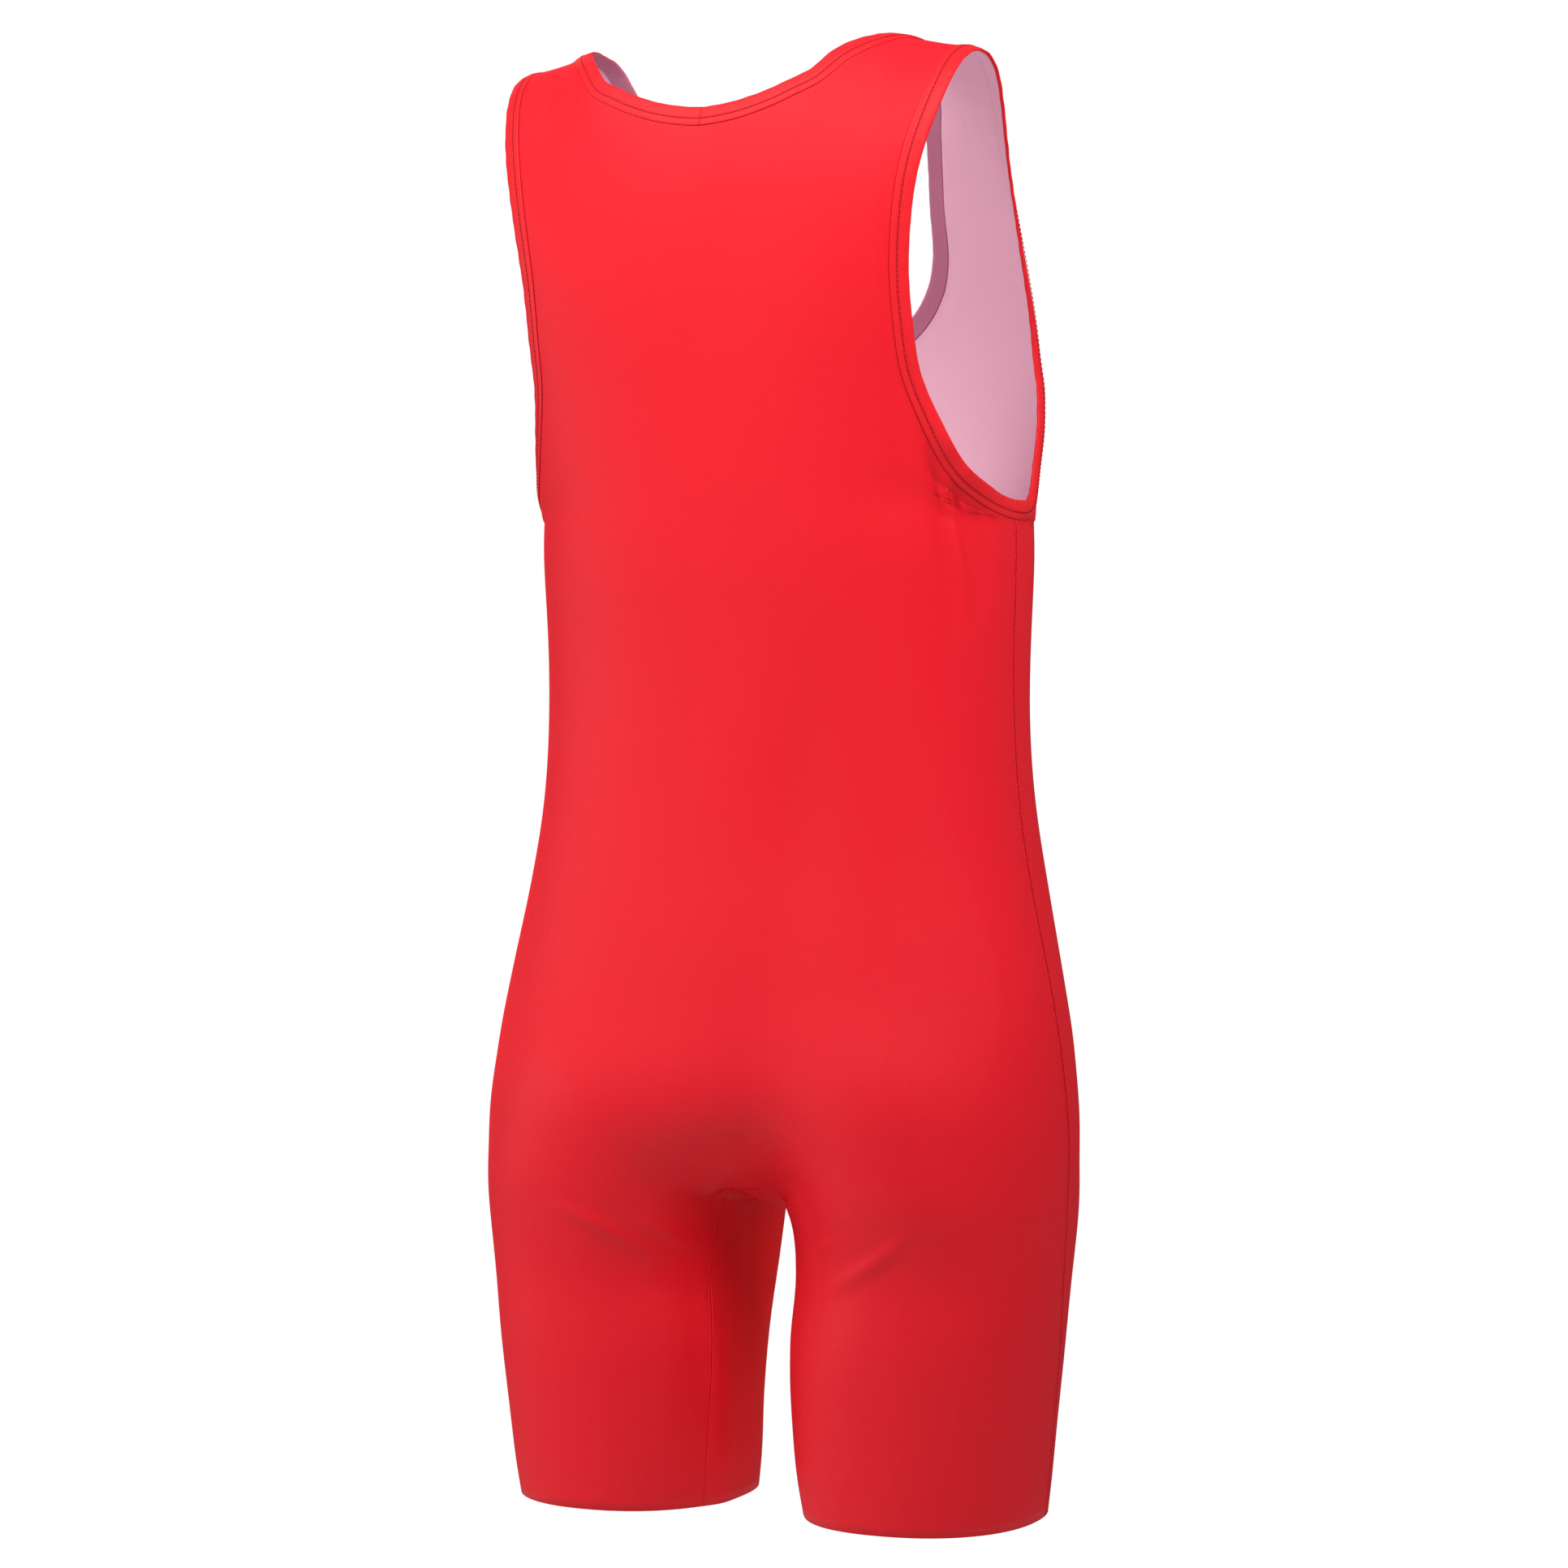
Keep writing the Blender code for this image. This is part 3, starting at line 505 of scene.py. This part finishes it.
def gridFaces(rows, columns, start=0):
    i = np.arange(rows - 1)[:, None] * columns + np.arange(columns - 1) + start
    return np.stack([i, i + 1, i + columns + 1, i + columns], -1).reshape(-1, 4)


def vertexNormals(points, faces):
    # sum of the cross products of each face's diagonals at its corners
    p = points[faces]
    cross = np.cross(p[:, 2] - p[:, 0], p[:, 3] - p[:, 1])
    total = np.zeros_like(points)
    for k in range(4):
        np.add.at(total, faces[:, k], cross)
    return total / np.maximum(np.linalg.norm(total, axis=1), 1e-12)[:, None]


def addMesh(name, points, faces, materials, uv=None, faceMaterial=None):
    data = bpy.data.meshes.new(name)
    data.from_pydata(points.tolist(), [], faces.tolist())
    if uv is not None:
        layer = data.uv_layers.new(name="cloth")
        layer.data.foreach_set("uv", uv.reshape(-1))
    for material in materials:
        data.materials.append(material)
    if faceMaterial is not None:
        data.polygons.foreach_set("material_index", faceMaterial)
    data.polygons.foreach_set("use_smooth", np.ones(len(data.polygons), bool))
    data.update()
    obj = bpy.data.objects.new(name, data)
    bpy.context.scene.collection.objects.link(obj)
    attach(obj, "root")
    return obj


# Materials
def newMaterial(name, colour, roughness):
    material = bpy.data.materials.new(name)
    material.use_nodes = True
    shader = material.node_tree.nodes["Principled BSDF"]
    shader.inputs["Base Color"].default_value = (*colour, 1)
    shader.inputs["Roughness"].default_value = roughness
    return material, material.node_tree.nodes, material.node_tree.links, shader


def mathNode(nodes, links, kind, first, second):
    node = nodes.new("ShaderNodeMath")
    node.operation = kind
    for socket, value in zip(node.inputs, (first, second)):
        if isinstance(value, (int, float)):
            socket.default_value = value
        elif value is not None:
            links.new(value, socket)
    return node.outputs[0]


knit = {
    "wale": 0.0006, "course": 0.0015, "specular": 0.18,
    "loopDetail": 2, "slubScale": 0.12, "slubDetail": 3, "slubShare": 1.5,
    "cloudScale": 9, "cloudDetail": 4, "cloudFrom": 0.35, "cloudTo": 0.75, "cloudMost": 0.5,
}


def knitMaterial(name, colour, second, roughness, bumpDepth, paintedGlow):
    # the last argument is an emission strength: painted light, a glow standing in for the light that comes
    # through the thin cloth, seen on its inside
    material, nodes, links, shader = newMaterial(name, colour, roughness)
    shader.inputs["Emission Color"].default_value = (*colour, 1)
    shader.inputs["Emission Strength"].default_value = paintedGlow
    shader.inputs["Specular IOR Level"].default_value = knit["specular"]
    uvNode = nodes.new("ShaderNodeUVMap")
    uvNode.uv_map = "cloth"
    parts = nodes.new("ShaderNodeSeparateXYZ")
    links.new(uvNode.outputs[0], parts.inputs[0])
    wale = mathNode(nodes, links, "MULTIPLY", parts.outputs[0], 1 / knit["wale"])
    course = mathNode(nodes, links, "MULTIPLY", parts.outputs[1], 1 / knit["course"])
    place = nodes.new("ShaderNodeTexCoord")
    loopPlace = nodes.new("ShaderNodeCombineXYZ")
    links.new(wale, loopPlace.inputs[0])
    links.new(course, loopPlace.inputs[1])
    loops = nodes.new("ShaderNodeTexNoise")
    loops.inputs["Scale"].default_value = 1.0
    loops.inputs["Detail"].default_value = knit["loopDetail"]
    links.new(loopPlace.outputs[0], loops.inputs[0])
    slub = nodes.new("ShaderNodeTexNoise")
    slub.inputs["Scale"].default_value = knit["slubScale"]
    slub.inputs["Detail"].default_value = knit["slubDetail"]
    links.new(loopPlace.outputs[0], slub.inputs[0])
    slubHeight = mathNode(nodes, links, "MULTIPLY", slub.outputs["Fac"], knit["slubShare"])
    height = mathNode(nodes, links, "ADD", loops.outputs["Fac"], slubHeight)
    bump = nodes.new("ShaderNodeBump")
    bump.inputs["Strength"].default_value = 1.0
    bump.inputs["Distance"].default_value = bumpDepth
    links.new(height, bump.inputs["Height"])
    links.new(bump.outputs[0], shader.inputs["Normal"])
    cloudy = nodes.new("ShaderNodeTexNoise")
    cloudy.inputs["Scale"].default_value = knit["cloudScale"]
    cloudy.inputs["Detail"].default_value = knit["cloudDetail"]
    links.new(place.outputs["Object"], cloudy.inputs[0])
    blend = nodes.new("ShaderNodeMix")
    blend.data_type = "RGBA"
    blend.inputs["A"].default_value = (*colour, 1)
    blend.inputs["B"].default_value = (*second, 1)
    share = nodes.new("ShaderNodeMapRange")
    share.inputs["From Min"].default_value = knit["cloudFrom"]
    share.inputs["From Max"].default_value = knit["cloudTo"]
    share.inputs["To Max"].default_value = knit["cloudMost"]
    links.new(cloudy.outputs["Fac"], share.inputs["Value"])
    links.new(share.outputs[0], blend.inputs["Factor"])
    links.new(blend.outputs["Result"], shader.inputs["Base Color"])
    return material


# name: colour, a second colour clouded into it, roughness, bump depth, painted glow for the light through
# the cloth
knits = {
    "red stretch knit": ((0.71, 0.010, 0.021), (0.67, 0.007, 0.018), 0.56, 0.00012, 0.0),
    "binding knit": ((0.70, 0.015, 0.022), (0.67, 0.007, 0.018), 0.50, 0.00012, 0.0),
    # the pink inside glows a little: painted light for the light through the thin cloth
    "pink inside": ((0.64, 0.395, 0.49), (0.60, 0.365, 0.46), 0.75, 0.00008, 0.18),
    "binding inside": ((0.46, 0.19, 0.28), (0.40, 0.15, 0.24), 0.75, 0.00010, 0.0),
    # painted shade: a darker red laid in the seams' grooves and along the bindings' edges and stitch
    # grooves, where shade falls
    "painted seam shade": ((0.38, 0.002, 0.012), (0.32, 0.001, 0.010), 0.75, 0.00012, 0.0),
}
madeKnits = [knitMaterial(name, *row) for name, row in knits.items()]
redKnit, bindingKnit, pinkInside, bandInside, paintedSeamShade = madeKnits
thread, _, _, _ = newMaterial("red thread", (0.50, 0.006, 0.018), 0.6)
print("materials made")

# Panels
panel = {"thickness": 0.0010, "heldColumns": 6}


def measured(grid):
    # place of every grid point on the flat cloth: distance along its row and up its column
    across = np.cumsum(np.linalg.norm(np.diff(grid, axis=1), axis=2), 1)
    across = np.concatenate([np.zeros((len(grid), 1)), across], 1)
    up = np.concatenate([np.zeros((1, grid.shape[1])), np.cumsum(stepsUp(grid), 0)])
    return np.stack([across, up], -1)


def clothArea(points, faces):
    # half the length of the cross product of each face's diagonals, summed
    p = points[faces]
    return 0.5 * np.linalg.norm(np.cross(p[:, 2] - p[:, 0], p[:, 3] - p[:, 1]), axis=1).sum()


lowCount = mesh["legRows"] + mesh["crotchRows"] + mesh["trunkRows"]


def edgeHold(grid):
    # 1 over the panel, falling to 0 over a few columns beside the armhole, where the binding holds it
    held = panel["heldColumns"]
    rows, fromEdge = np.arange(len(grid))[:, None], np.arange(grid.shape[1])[None, ::-1]
    beside = np.clip((rows - lowCount) / held + 1, 0, 1)
    return 1 - beside * (1 - np.clip(fromEdge / held, 0, 1))


def makePanel(name, grids, node):
    # both halves of a panel, joined where they meet, folded, and with a wall
    points, faces, places, holds, start = [], [], [], [], 0
    for grid, forward in grids:
        for sign in (1, -1):
            half = grid * [sign, 1, 1]
            quads = gridFaces(*grid.shape[:2], start)
            points.append(half.reshape(-1, 3))
            faces.append(quads if forward * sign > 0 else quads[:, ::-1])
            places.append((measured(grid) * [sign, 1]).reshape(-1, 2))
            holds.append(edgeHold(grid).reshape(-1))
            start += len(points[-1])
    points, faces, places = np.concatenate(points), np.concatenate(faces), np.concatenate(places)
    _, first, joined = np.unique(np.round(points, 6), axis=0, return_index=True, return_inverse=True)
    joined = joined.reshape(-1)
    single, flat = points[first], joined[faces]
    whole = (flat != np.roll(flat, 1, axis=1)).all(1)
    flat, uv = flat[whole], places[faces[whole]]
    normals = vertexNormals(single, flat)
    lift = foldLift(single, normals) * np.concatenate(holds)[first]
    single = single + normals * lift[:, None]
    normals = vertexNormals(single, flat)
    obj = addMesh(name, single, flat, [redKnit, pinkInside], uv)
    wall = obj.modifiers.new("wall", "SOLIDIFY")
    wall.thickness = panel["thickness"]
    wall.offset = 0
    wall.use_rim = True
    wall.material_offset = 1
    wall.material_offset_rim = 0
    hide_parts(node)
    print(name, "has", len(flat), "faces and", round(clothArea(single, flat), 4), "square metres")
    rows, columns = grids[0][0].shape[:2]
    size = rows * columns
    halves = [joined[:size].reshape(rows, columns), joined[size : 2 * size].reshape(rows, columns)]
    return obj, [(single[k], normals[k]) for k in halves]


backGrid, frontGrid = halfPanel(1), halfPanel(-1)
thighGrid = innerThigh(frontGrid[: mesh["legRows"] + 1, 0, 2])
back, backHalves = makePanel("backPanel", [(backGrid, -1)], "back")
front, frontHalves = makePanel("frontPanel", [(frontGrid, 1), (thighGrid, -1)], "front")


def ring(values, passes):
    # softens the values round a closed line by averaging neighbours
    for _ in range(passes):
        values = 0.25 * np.roll(values, 1, 0) + 0.5 * values + 0.25 * np.roll(values, -1, 0)
    return values


def evenRing(points, normals, step):
    # points and normals evenly spaced round a closed line, and their lengths along it
    closed, turned = (np.concatenate([v, v[:1]]) for v in (points, normals))
    run = running(closed)
    at = np.linspace(0, run[-1], int(run[-1] / step) + 1)[:-1]
    return readAt(closed, run, at), readAt(turned, run, at), at


def ringFrame(points, normals, away):
    # along, outward and sideways directions on a closed line; sideways points away from the panel
    along = unit(np.roll(points, -1, 0) - np.roll(points, 1, 0))
    normals = squareTo(normals, along)
    sideways = np.cross(along, normals)
    return along, normals, sideways * np.sign((sideways * away).sum())


# The binding's section: distance from the panel's edge, height over the middle of the cloth
binding = {
    "profile": np.array([
        (-0.6, 0.62), (-0.55, 0.95), (-0.2, 1.20), (0.6, 1.32), (1.8, 1.36), (2.8, 1.34), (3.2, 1.22),
        (3.6, 1.16), (4.0, 1.22), (4.4, 1.34), (5.6, 1.38), (7.4, 1.36), (9.0, 1.30), (9.9, 1.18),
        (10.5, 0.85), (10.8, 0.40), (10.6, -0.10), (10.0, -0.45), (8.8, -0.62), (6.0, -0.66),
        (3.0, -0.66), (1.0, -0.66), (0.15, -0.62), (0.05, 0.30),
    ]) * 0.001,
    # shaded lists the section's places painted darker as painted shade: under the edge and in the stitch
    # groove
    "step": 0.0015, "stitchAt": 0.0036, "ripple": 0.00012, "innerFrom": 16, "shaded": (0, 6, 7, 23),
    "rimFrom": 18, "width": 0.0108, "pointPasses": 18, "normalPasses": 24,
    "waves": ((1.0, 520, 0.0), (0.6, 311, 1.0), (0.5, 97, 0.0)),
    "neckCurl": (8, 8), "armholeCurl": (12, 34),
    "curlFrom": 0.03, "curlOver": 0.08,  # the front's curl grows from this y over this distance
}


def ringFaces(stations, count, around):
    # faces of a closed section carried along a path; the path is a ring where around is true
    i = np.arange(stations if around else stations - 1)[:, None] * count
    k = ((np.arange(len(i)) + 1) % stations)[:, None] * count
    j = np.arange(count)[None, :]
    nextJ = (j + 1) % count
    faces = np.stack([i + j, k + j, k + nextJ, i + nextJ], -1).reshape(-1, 4)
    if around:
        return faces
    c = np.arange(count // 2 - 1)
    cap = np.stack([c, c + 1, count - 2 - c, count - 1 - c], -1)
    return np.concatenate([faces, cap, cap[:, ::-1] + (stations - 1) * count])


def outwards(points, faces, body):
    # turns the faces over where their normals point into the section
    normals = vertexNormals(points, faces).reshape(body.shape)
    return faces if (normals * (body - body.mean(1)[:, None])).sum() > 0 else faces[:, ::-1]


def makeBinding(name, points, normals, away, node, inside, innerFrom, curl):
    # the section bends inward as an arc; curl is its whole turn in degrees behind and in front
    points, normals, at = evenRing(points, normals, binding["step"])
    points, normals = ring(points, binding["pointPasses"]), ring(normals, binding["normalPasses"])
    along, normals, sideways = ringFrame(points, normals, away(points))
    across, height = binding["profile"].T
    share = np.clip(across / binding["width"], 0, 1)
    ripples = [size * np.sin(at * rate + phase) for size, rate, phase in binding["waves"]]
    ripple = binding["ripple"] * sum(ripples)
    lift = height + ripple[:, None] * share**2
    frontShare = np.clip((binding["curlFrom"] - points[:, 1]) / binding["curlOver"], 0, 1)
    bend = np.radians(curl[0] + (curl[1] - curl[0]) * frontShare)[:, None] * share
    half, whole = bend[..., None] / 2, bend[..., None]
    side, up = sideways[:, None], normals[:, None]
    body = points[:, None] + across[None, :, None] * (np.cos(half) * side - np.sin(half) * up)
    body = body + lift[..., None] * (np.cos(whole) * up + np.sin(whole) * side)
    stations, count = body.shape[:2]
    flat = body.reshape(-1, 3)
    faces = outwards(flat, ringFaces(stations, count, True), body)
    girth = running(binding["profile"])
    uv = np.stack(np.broadcast_arrays(girth[None, :], at[:, None]), -1).reshape(-1, 2)[faces]
    place = np.tile(np.arange(count), stations)
    # kind 2 takes the painted seam shade, kind 1 the inside
    kind = np.where(np.isin(place, binding["shaded"]), 2, np.where(place >= innerFrom, 1, 0))
    obj = addMesh(name, flat, faces, [bindingKnit, inside, paintedSeamShade], uv, kind.astype(np.int32))
    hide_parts(node)
    print(name, "is", round(at[-1], 3), "m round")
    return obj, (points, normals, along, sideways, at)


# every binding, seam and row of stitches, made below
stitch = {
    "pitch": 0.0030, "length": 0.0023, "radius": 0.00026, "rise": 0.00022, "sides": 6,
    "overBand": 0.00128, "overSeam": 0.0006,
}


def makeStitches(name, points, normals, along, sideways, side, lift, slant, slot):
    # a row of thread capsules: each a short tube whose middle rises like half a sine
    run = running(points)
    at = np.arange(0.5 * stitch["pitch"], run[-1], stitch["pitch"])
    centre, up, ahead, across = (readAt(v, run, at) for v in (points, normals, along, sideways))
    centre = centre + side * across + lift * up
    t = np.array([0.0, 0.12, 0.5, 0.88, 1.0])
    size = np.array([0.15, 0.8, 1.0, 0.8, 0.15]) * stitch["radius"]
    aim = ahead * math.cos(slant) + across * math.sin(slant)
    flank = np.cross(up, aim)
    core = centre[:, None] + (t - 0.5)[None, :, None] * stitch["length"] * aim[:, None]
    core = core + (stitch["rise"] * np.sin(np.pi * t))[None, :, None] * up[:, None]
    turn = np.linspace(0, 2 * np.pi, stitch["sides"] + 1)[:-1]
    ringPoint = np.cos(turn)[:, None] * flank[:, None] + np.sin(turn)[:, None] * up[:, None]
    body = core[:, :, None] + size[None, :, None, None] * ringPoint[:, None]
    count = stitch["sides"]
    one = ringFaces(5, count, False)
    flat = body.reshape(-1, 3)
    single = outwards(body[0].reshape(-1, 3), one, body[0])
    faces = (single + (np.arange(len(at)) * 5 * count)[:, None, None]).reshape(-1, 4)
    obj = addMesh(name, flat, faces, [thread])
    return obj


neckColumns = mesh["neckColumns"]
neckLine = []
for k, reverse in ((0, False), (1, True)):
    backEdge = [v[-1, : neckColumns + 1] for v in backHalves[k]]
    frontEdge = [v[-1, : neckColumns][::-1] for v in frontHalves[k]]
    half = [np.concatenate([b, f]) for b, f in zip(backEdge, frontEdge)]
    half = [v[1:-1][::-1] for v in half] if reverse else half
    neckLine.append(half)
neckPoints, neckNormals = (np.concatenate([neckLine[0][k], neckLine[1][k]]) for k in (0, 1))
neck, neckTrack = makeBinding(
    "neckBinding", neckPoints, neckNormals, lambda p: [0, 0, 0.02] - p * [1, 0, 0], "neck_binding",
    bandInside, binding["innerFrom"], binding["neckCurl"],
)

armTracks = []
for k, side in ((0, "Left"), (1, "Right")):
    up = [v[lowCount:, -1] for v in backHalves[k]]
    down = [v[lowCount + 1 : -1, -1][::-1] for v in frontHalves[k]]
    points, normals = (np.concatenate([a, b]) for a, b in zip(up, down))
    node = "armhole_binding_" + side.lower()
    obj, track = makeBinding(
        "armholeBinding" + side, points, normals, lambda p: p.mean(0) - p, node,
        pinkInside, binding["rimFrom"], binding["armholeCurl"],
    )
    armTracks.append(track)
stitched = zip(("neckStitches", "armholeStitchesLeft", "armholeStitchesRight"), (neckTrack, *armTracks))
for name, track in stitched:
    makeStitches(name, *track[:4], binding["stitchAt"], stitch["overBand"], 0.0, "binding")

# Flat seams: two low ridges with a groove between, across then height over the middle of the cloth
seam = {
    "profile": np.array([
        (-2.0, 0.30), (-1.9, 0.62), (-1.4, 0.86), (-0.8, 0.84), (-0.35, 0.56), (0.0, 0.50), (0.35, 0.56),
        (0.8, 0.84), (1.4, 0.86), (1.9, 0.62), (2.0, 0.30), (0.0, 0.10),
    ]) * 0.001,
    # shaded lists the groove's places, painted darker as painted shade
    "step": 0.002, "slant": 0.9, "shaded": (3, 4, 5, 6),
    "base": 0.0003, "taper": 0.002, "jog": 0.00012, "jogRate": 2400,
}


def makeSeam(name, points, normals, scale=1.0, stitched=True):
    # the seam's section carried along an open path
    run = running(points)
    at = np.linspace(0, run[-1], int(run[-1] / seam["step"]) + 1)
    points, normals = readAt(points, run, at), readAt(normals, run, at)
    along = unit(np.gradient(points, axis=0))
    normals = squareTo(normals, along)
    sideways = np.cross(along, normals)
    across, height = seam["profile"].T
    base = seam["base"]
    height = base + (height - base) * scale
    taper = np.clip(np.minimum(at, at[-1] - at) / seam["taper"], 0.3, 1)[:, None]
    jog = seam["jog"] * np.sin(at * seam["jogRate"])[:, None]
    body = points[:, None] + ((across * taper + jog)[..., None]) * sideways[:, None]
    body = body + (base + (height - base) * taper)[..., None] * normals[:, None]
    count = len(across)
    flat = body.reshape(-1, 3)
    faces = outwards(flat, ringFaces(len(at), count, False), body)
    uv = np.stack(np.broadcast_arrays(across[None, :], at[:, None]), -1).reshape(-1, 2)[faces]
    # the groove's faces take the painted shade where the seam is stitched
    groove = np.zeros(len(faces), np.int32)
    place = np.tile(np.arange(count), len(at) - 1)
    groove[: len(place)] = stitched & np.isin(place, seam["shaded"])
    obj = addMesh(name, flat, faces, [redKnit, paintedSeamShade], uv, groove)
    if stitched:
        frameOfSeam = (points, normals, along, sideways)
        makeStitches(name + "Stitches", *frameOfSeam, 0.0, stitch["overSeam"], seam["slant"], "cloth")
    return obj


for k, side in ((0, "Left"), (1, "Right")):
    low = slice(0, lowCount + 1)
    pair = [0.5 * (b[low, -1] + f[low, -1]) for b, f in zip(backHalves[k], frontHalves[k])]
    makeSeam("sideSeam" + side, *(v[:-1] for v in pair))
    top = slice(neckColumns, None)
    crest = [0.5 * (b[-1, top] + f[-1, top]) for b, f in zip(backHalves[k], frontHalves[k])]
    makeSeam("shoulderSeam" + side, *crest, scale=0.8)
legs = mesh["legRows"]
inner = [np.concatenate([left[: legs + 1, 0], right[:legs, 0][::-1]]) for left, right in zip(*backHalves)]
makeSeam("inseam", *inner, scale=0.5, stitched=False)
print("bindings, seams and stitches made")

# Studio
studio = {"turn": 204.5, "pitch": 1.5, "distance": 2.5, "height": -0.368, "aside": -0.00168, "lens": 97.04}
turn = math.radians(studio["turn"])
toCamera = np.array([math.sin(turn), -math.cos(turn), 0.0])
toRight = np.array([math.cos(turn), math.sin(turn), 0.0])
camera = bpy.data.objects.new("camera", bpy.data.cameras.new("camera"))
camera.data.lens = studio["lens"]
camera.location = toCamera * studio["distance"] + toRight * studio["aside"] + [0, 0, studio["height"]]
camera.rotation_euler = (math.radians(90 - studio["pitch"]), 0, turn)
bpy.context.scene.collection.objects.link(camera)
bpy.context.scene.camera = camera

# name, place (towards the camera, to its right, up), aim height, spread in degrees, power, colour
lamps = [
    ("key", (1.0, -0.85, 0.85), -0.12, 180, 17.0, (1.0, 0.99, 0.93)),
    ("softBack", (1.3, 0.5, 0.9), 0.0, 50, 3.0, (1.0, 0.99, 0.93)),
    ("softRight", (0.6, 1.8, 0.4), -0.30, 60, 1.6, (1.0, 1.0, 1.0)),
    ("lowLeft", (1.1, -1.3, -0.3), -0.50, 180, 2.4, (1.0, 0.98, 0.95)),
    ("left", (0.0, -1.6, -0.5), -0.60, 180, 7.0, (1.0, 0.98, 0.96)),
    ("softRear", (-1.8, -0.6, 0.5), -0.30, 60, 11, (1.0, 0.98, 0.95)),
]
for name, (near, aside, up), aim, spread, power, colour in lamps:
    lamp = bpy.data.objects.new(name, bpy.data.lights.new(name, "AREA"))
    lamp.data.shape = "DISK"
    lamp.data.size = 0.9
    lamp.data.spread = math.radians(spread)
    lamp.data.energy = power
    lamp.data.color = colour
    lamp.visible_glossy = not name.startswith("soft")
    lamp.location = toCamera * near + toRight * aside + [0, 0, up]
    aimAt = np.array([0.0, 0.0, aim]) - np.array(lamp.location)
    flatReach = math.hypot(aimAt[0], aimAt[1])
    lamp.rotation_euler = (math.atan2(flatReach, -aimAt[2]), 0, math.atan2(-aimAt[0], aimAt[1]))
    bpy.context.scene.collection.objects.link(lamp)

# white to the camera, a softer light on the cloth, dimmer still in its gloss
world = bpy.context.scene.world or bpy.data.worlds.new("studio")
bpy.context.scene.world = world
world.use_nodes = True
sky = world.node_tree.nodes["Background"]
seen = world.node_tree.nodes.new("ShaderNodeLightPath")
level = world.node_tree.nodes.new("ShaderNodeMapRange")
level.inputs["To Min"].default_value = 0.34
level.inputs["To Max"].default_value = 1.0
sky.inputs["Color"].default_value = (1, 1, 1, 1)
world.node_tree.links.new(seen.outputs["Is Camera Ray"], level.inputs["Value"])
nodesAndLinks = (world.node_tree.nodes, world.node_tree.links)
mirrored = mathNode(*nodesAndLinks, "MULTIPLY", seen.outputs["Is Glossy Ray"], 0.75)
dimmed = mathNode(*nodesAndLinks, "SUBTRACT", 1.0, mirrored)
strength = mathNode(*nodesAndLinks, "MULTIPLY", level.outputs[0], dimmed)
world.node_tree.links.new(strength, sky.inputs["Strength"])
bpy.context.scene.view_settings.view_transform = "Standard"

# pale floor well below the hanging garment
rim = np.linspace(0, 2 * np.pi, 97)[:-1]
floorRim = np.stack([1.45 * np.cos(rim), 1.45 * np.sin(rim), np.full(96, -1.3)], 1)
floorMesh = bpy.data.meshes.new("floor")
floorMesh.from_pydata(floorRim.tolist(), [], [list(range(96))])
floor = bpy.data.objects.new("floor", floorMesh)
bpy.context.scene.collection.objects.link(floor)
floorPaint, _, _, _ = newMaterial("floor paint", (0.85, 0.85, 0.85), 0.8)
floorMesh.materials.append(floorPaint)
print("studio ready")
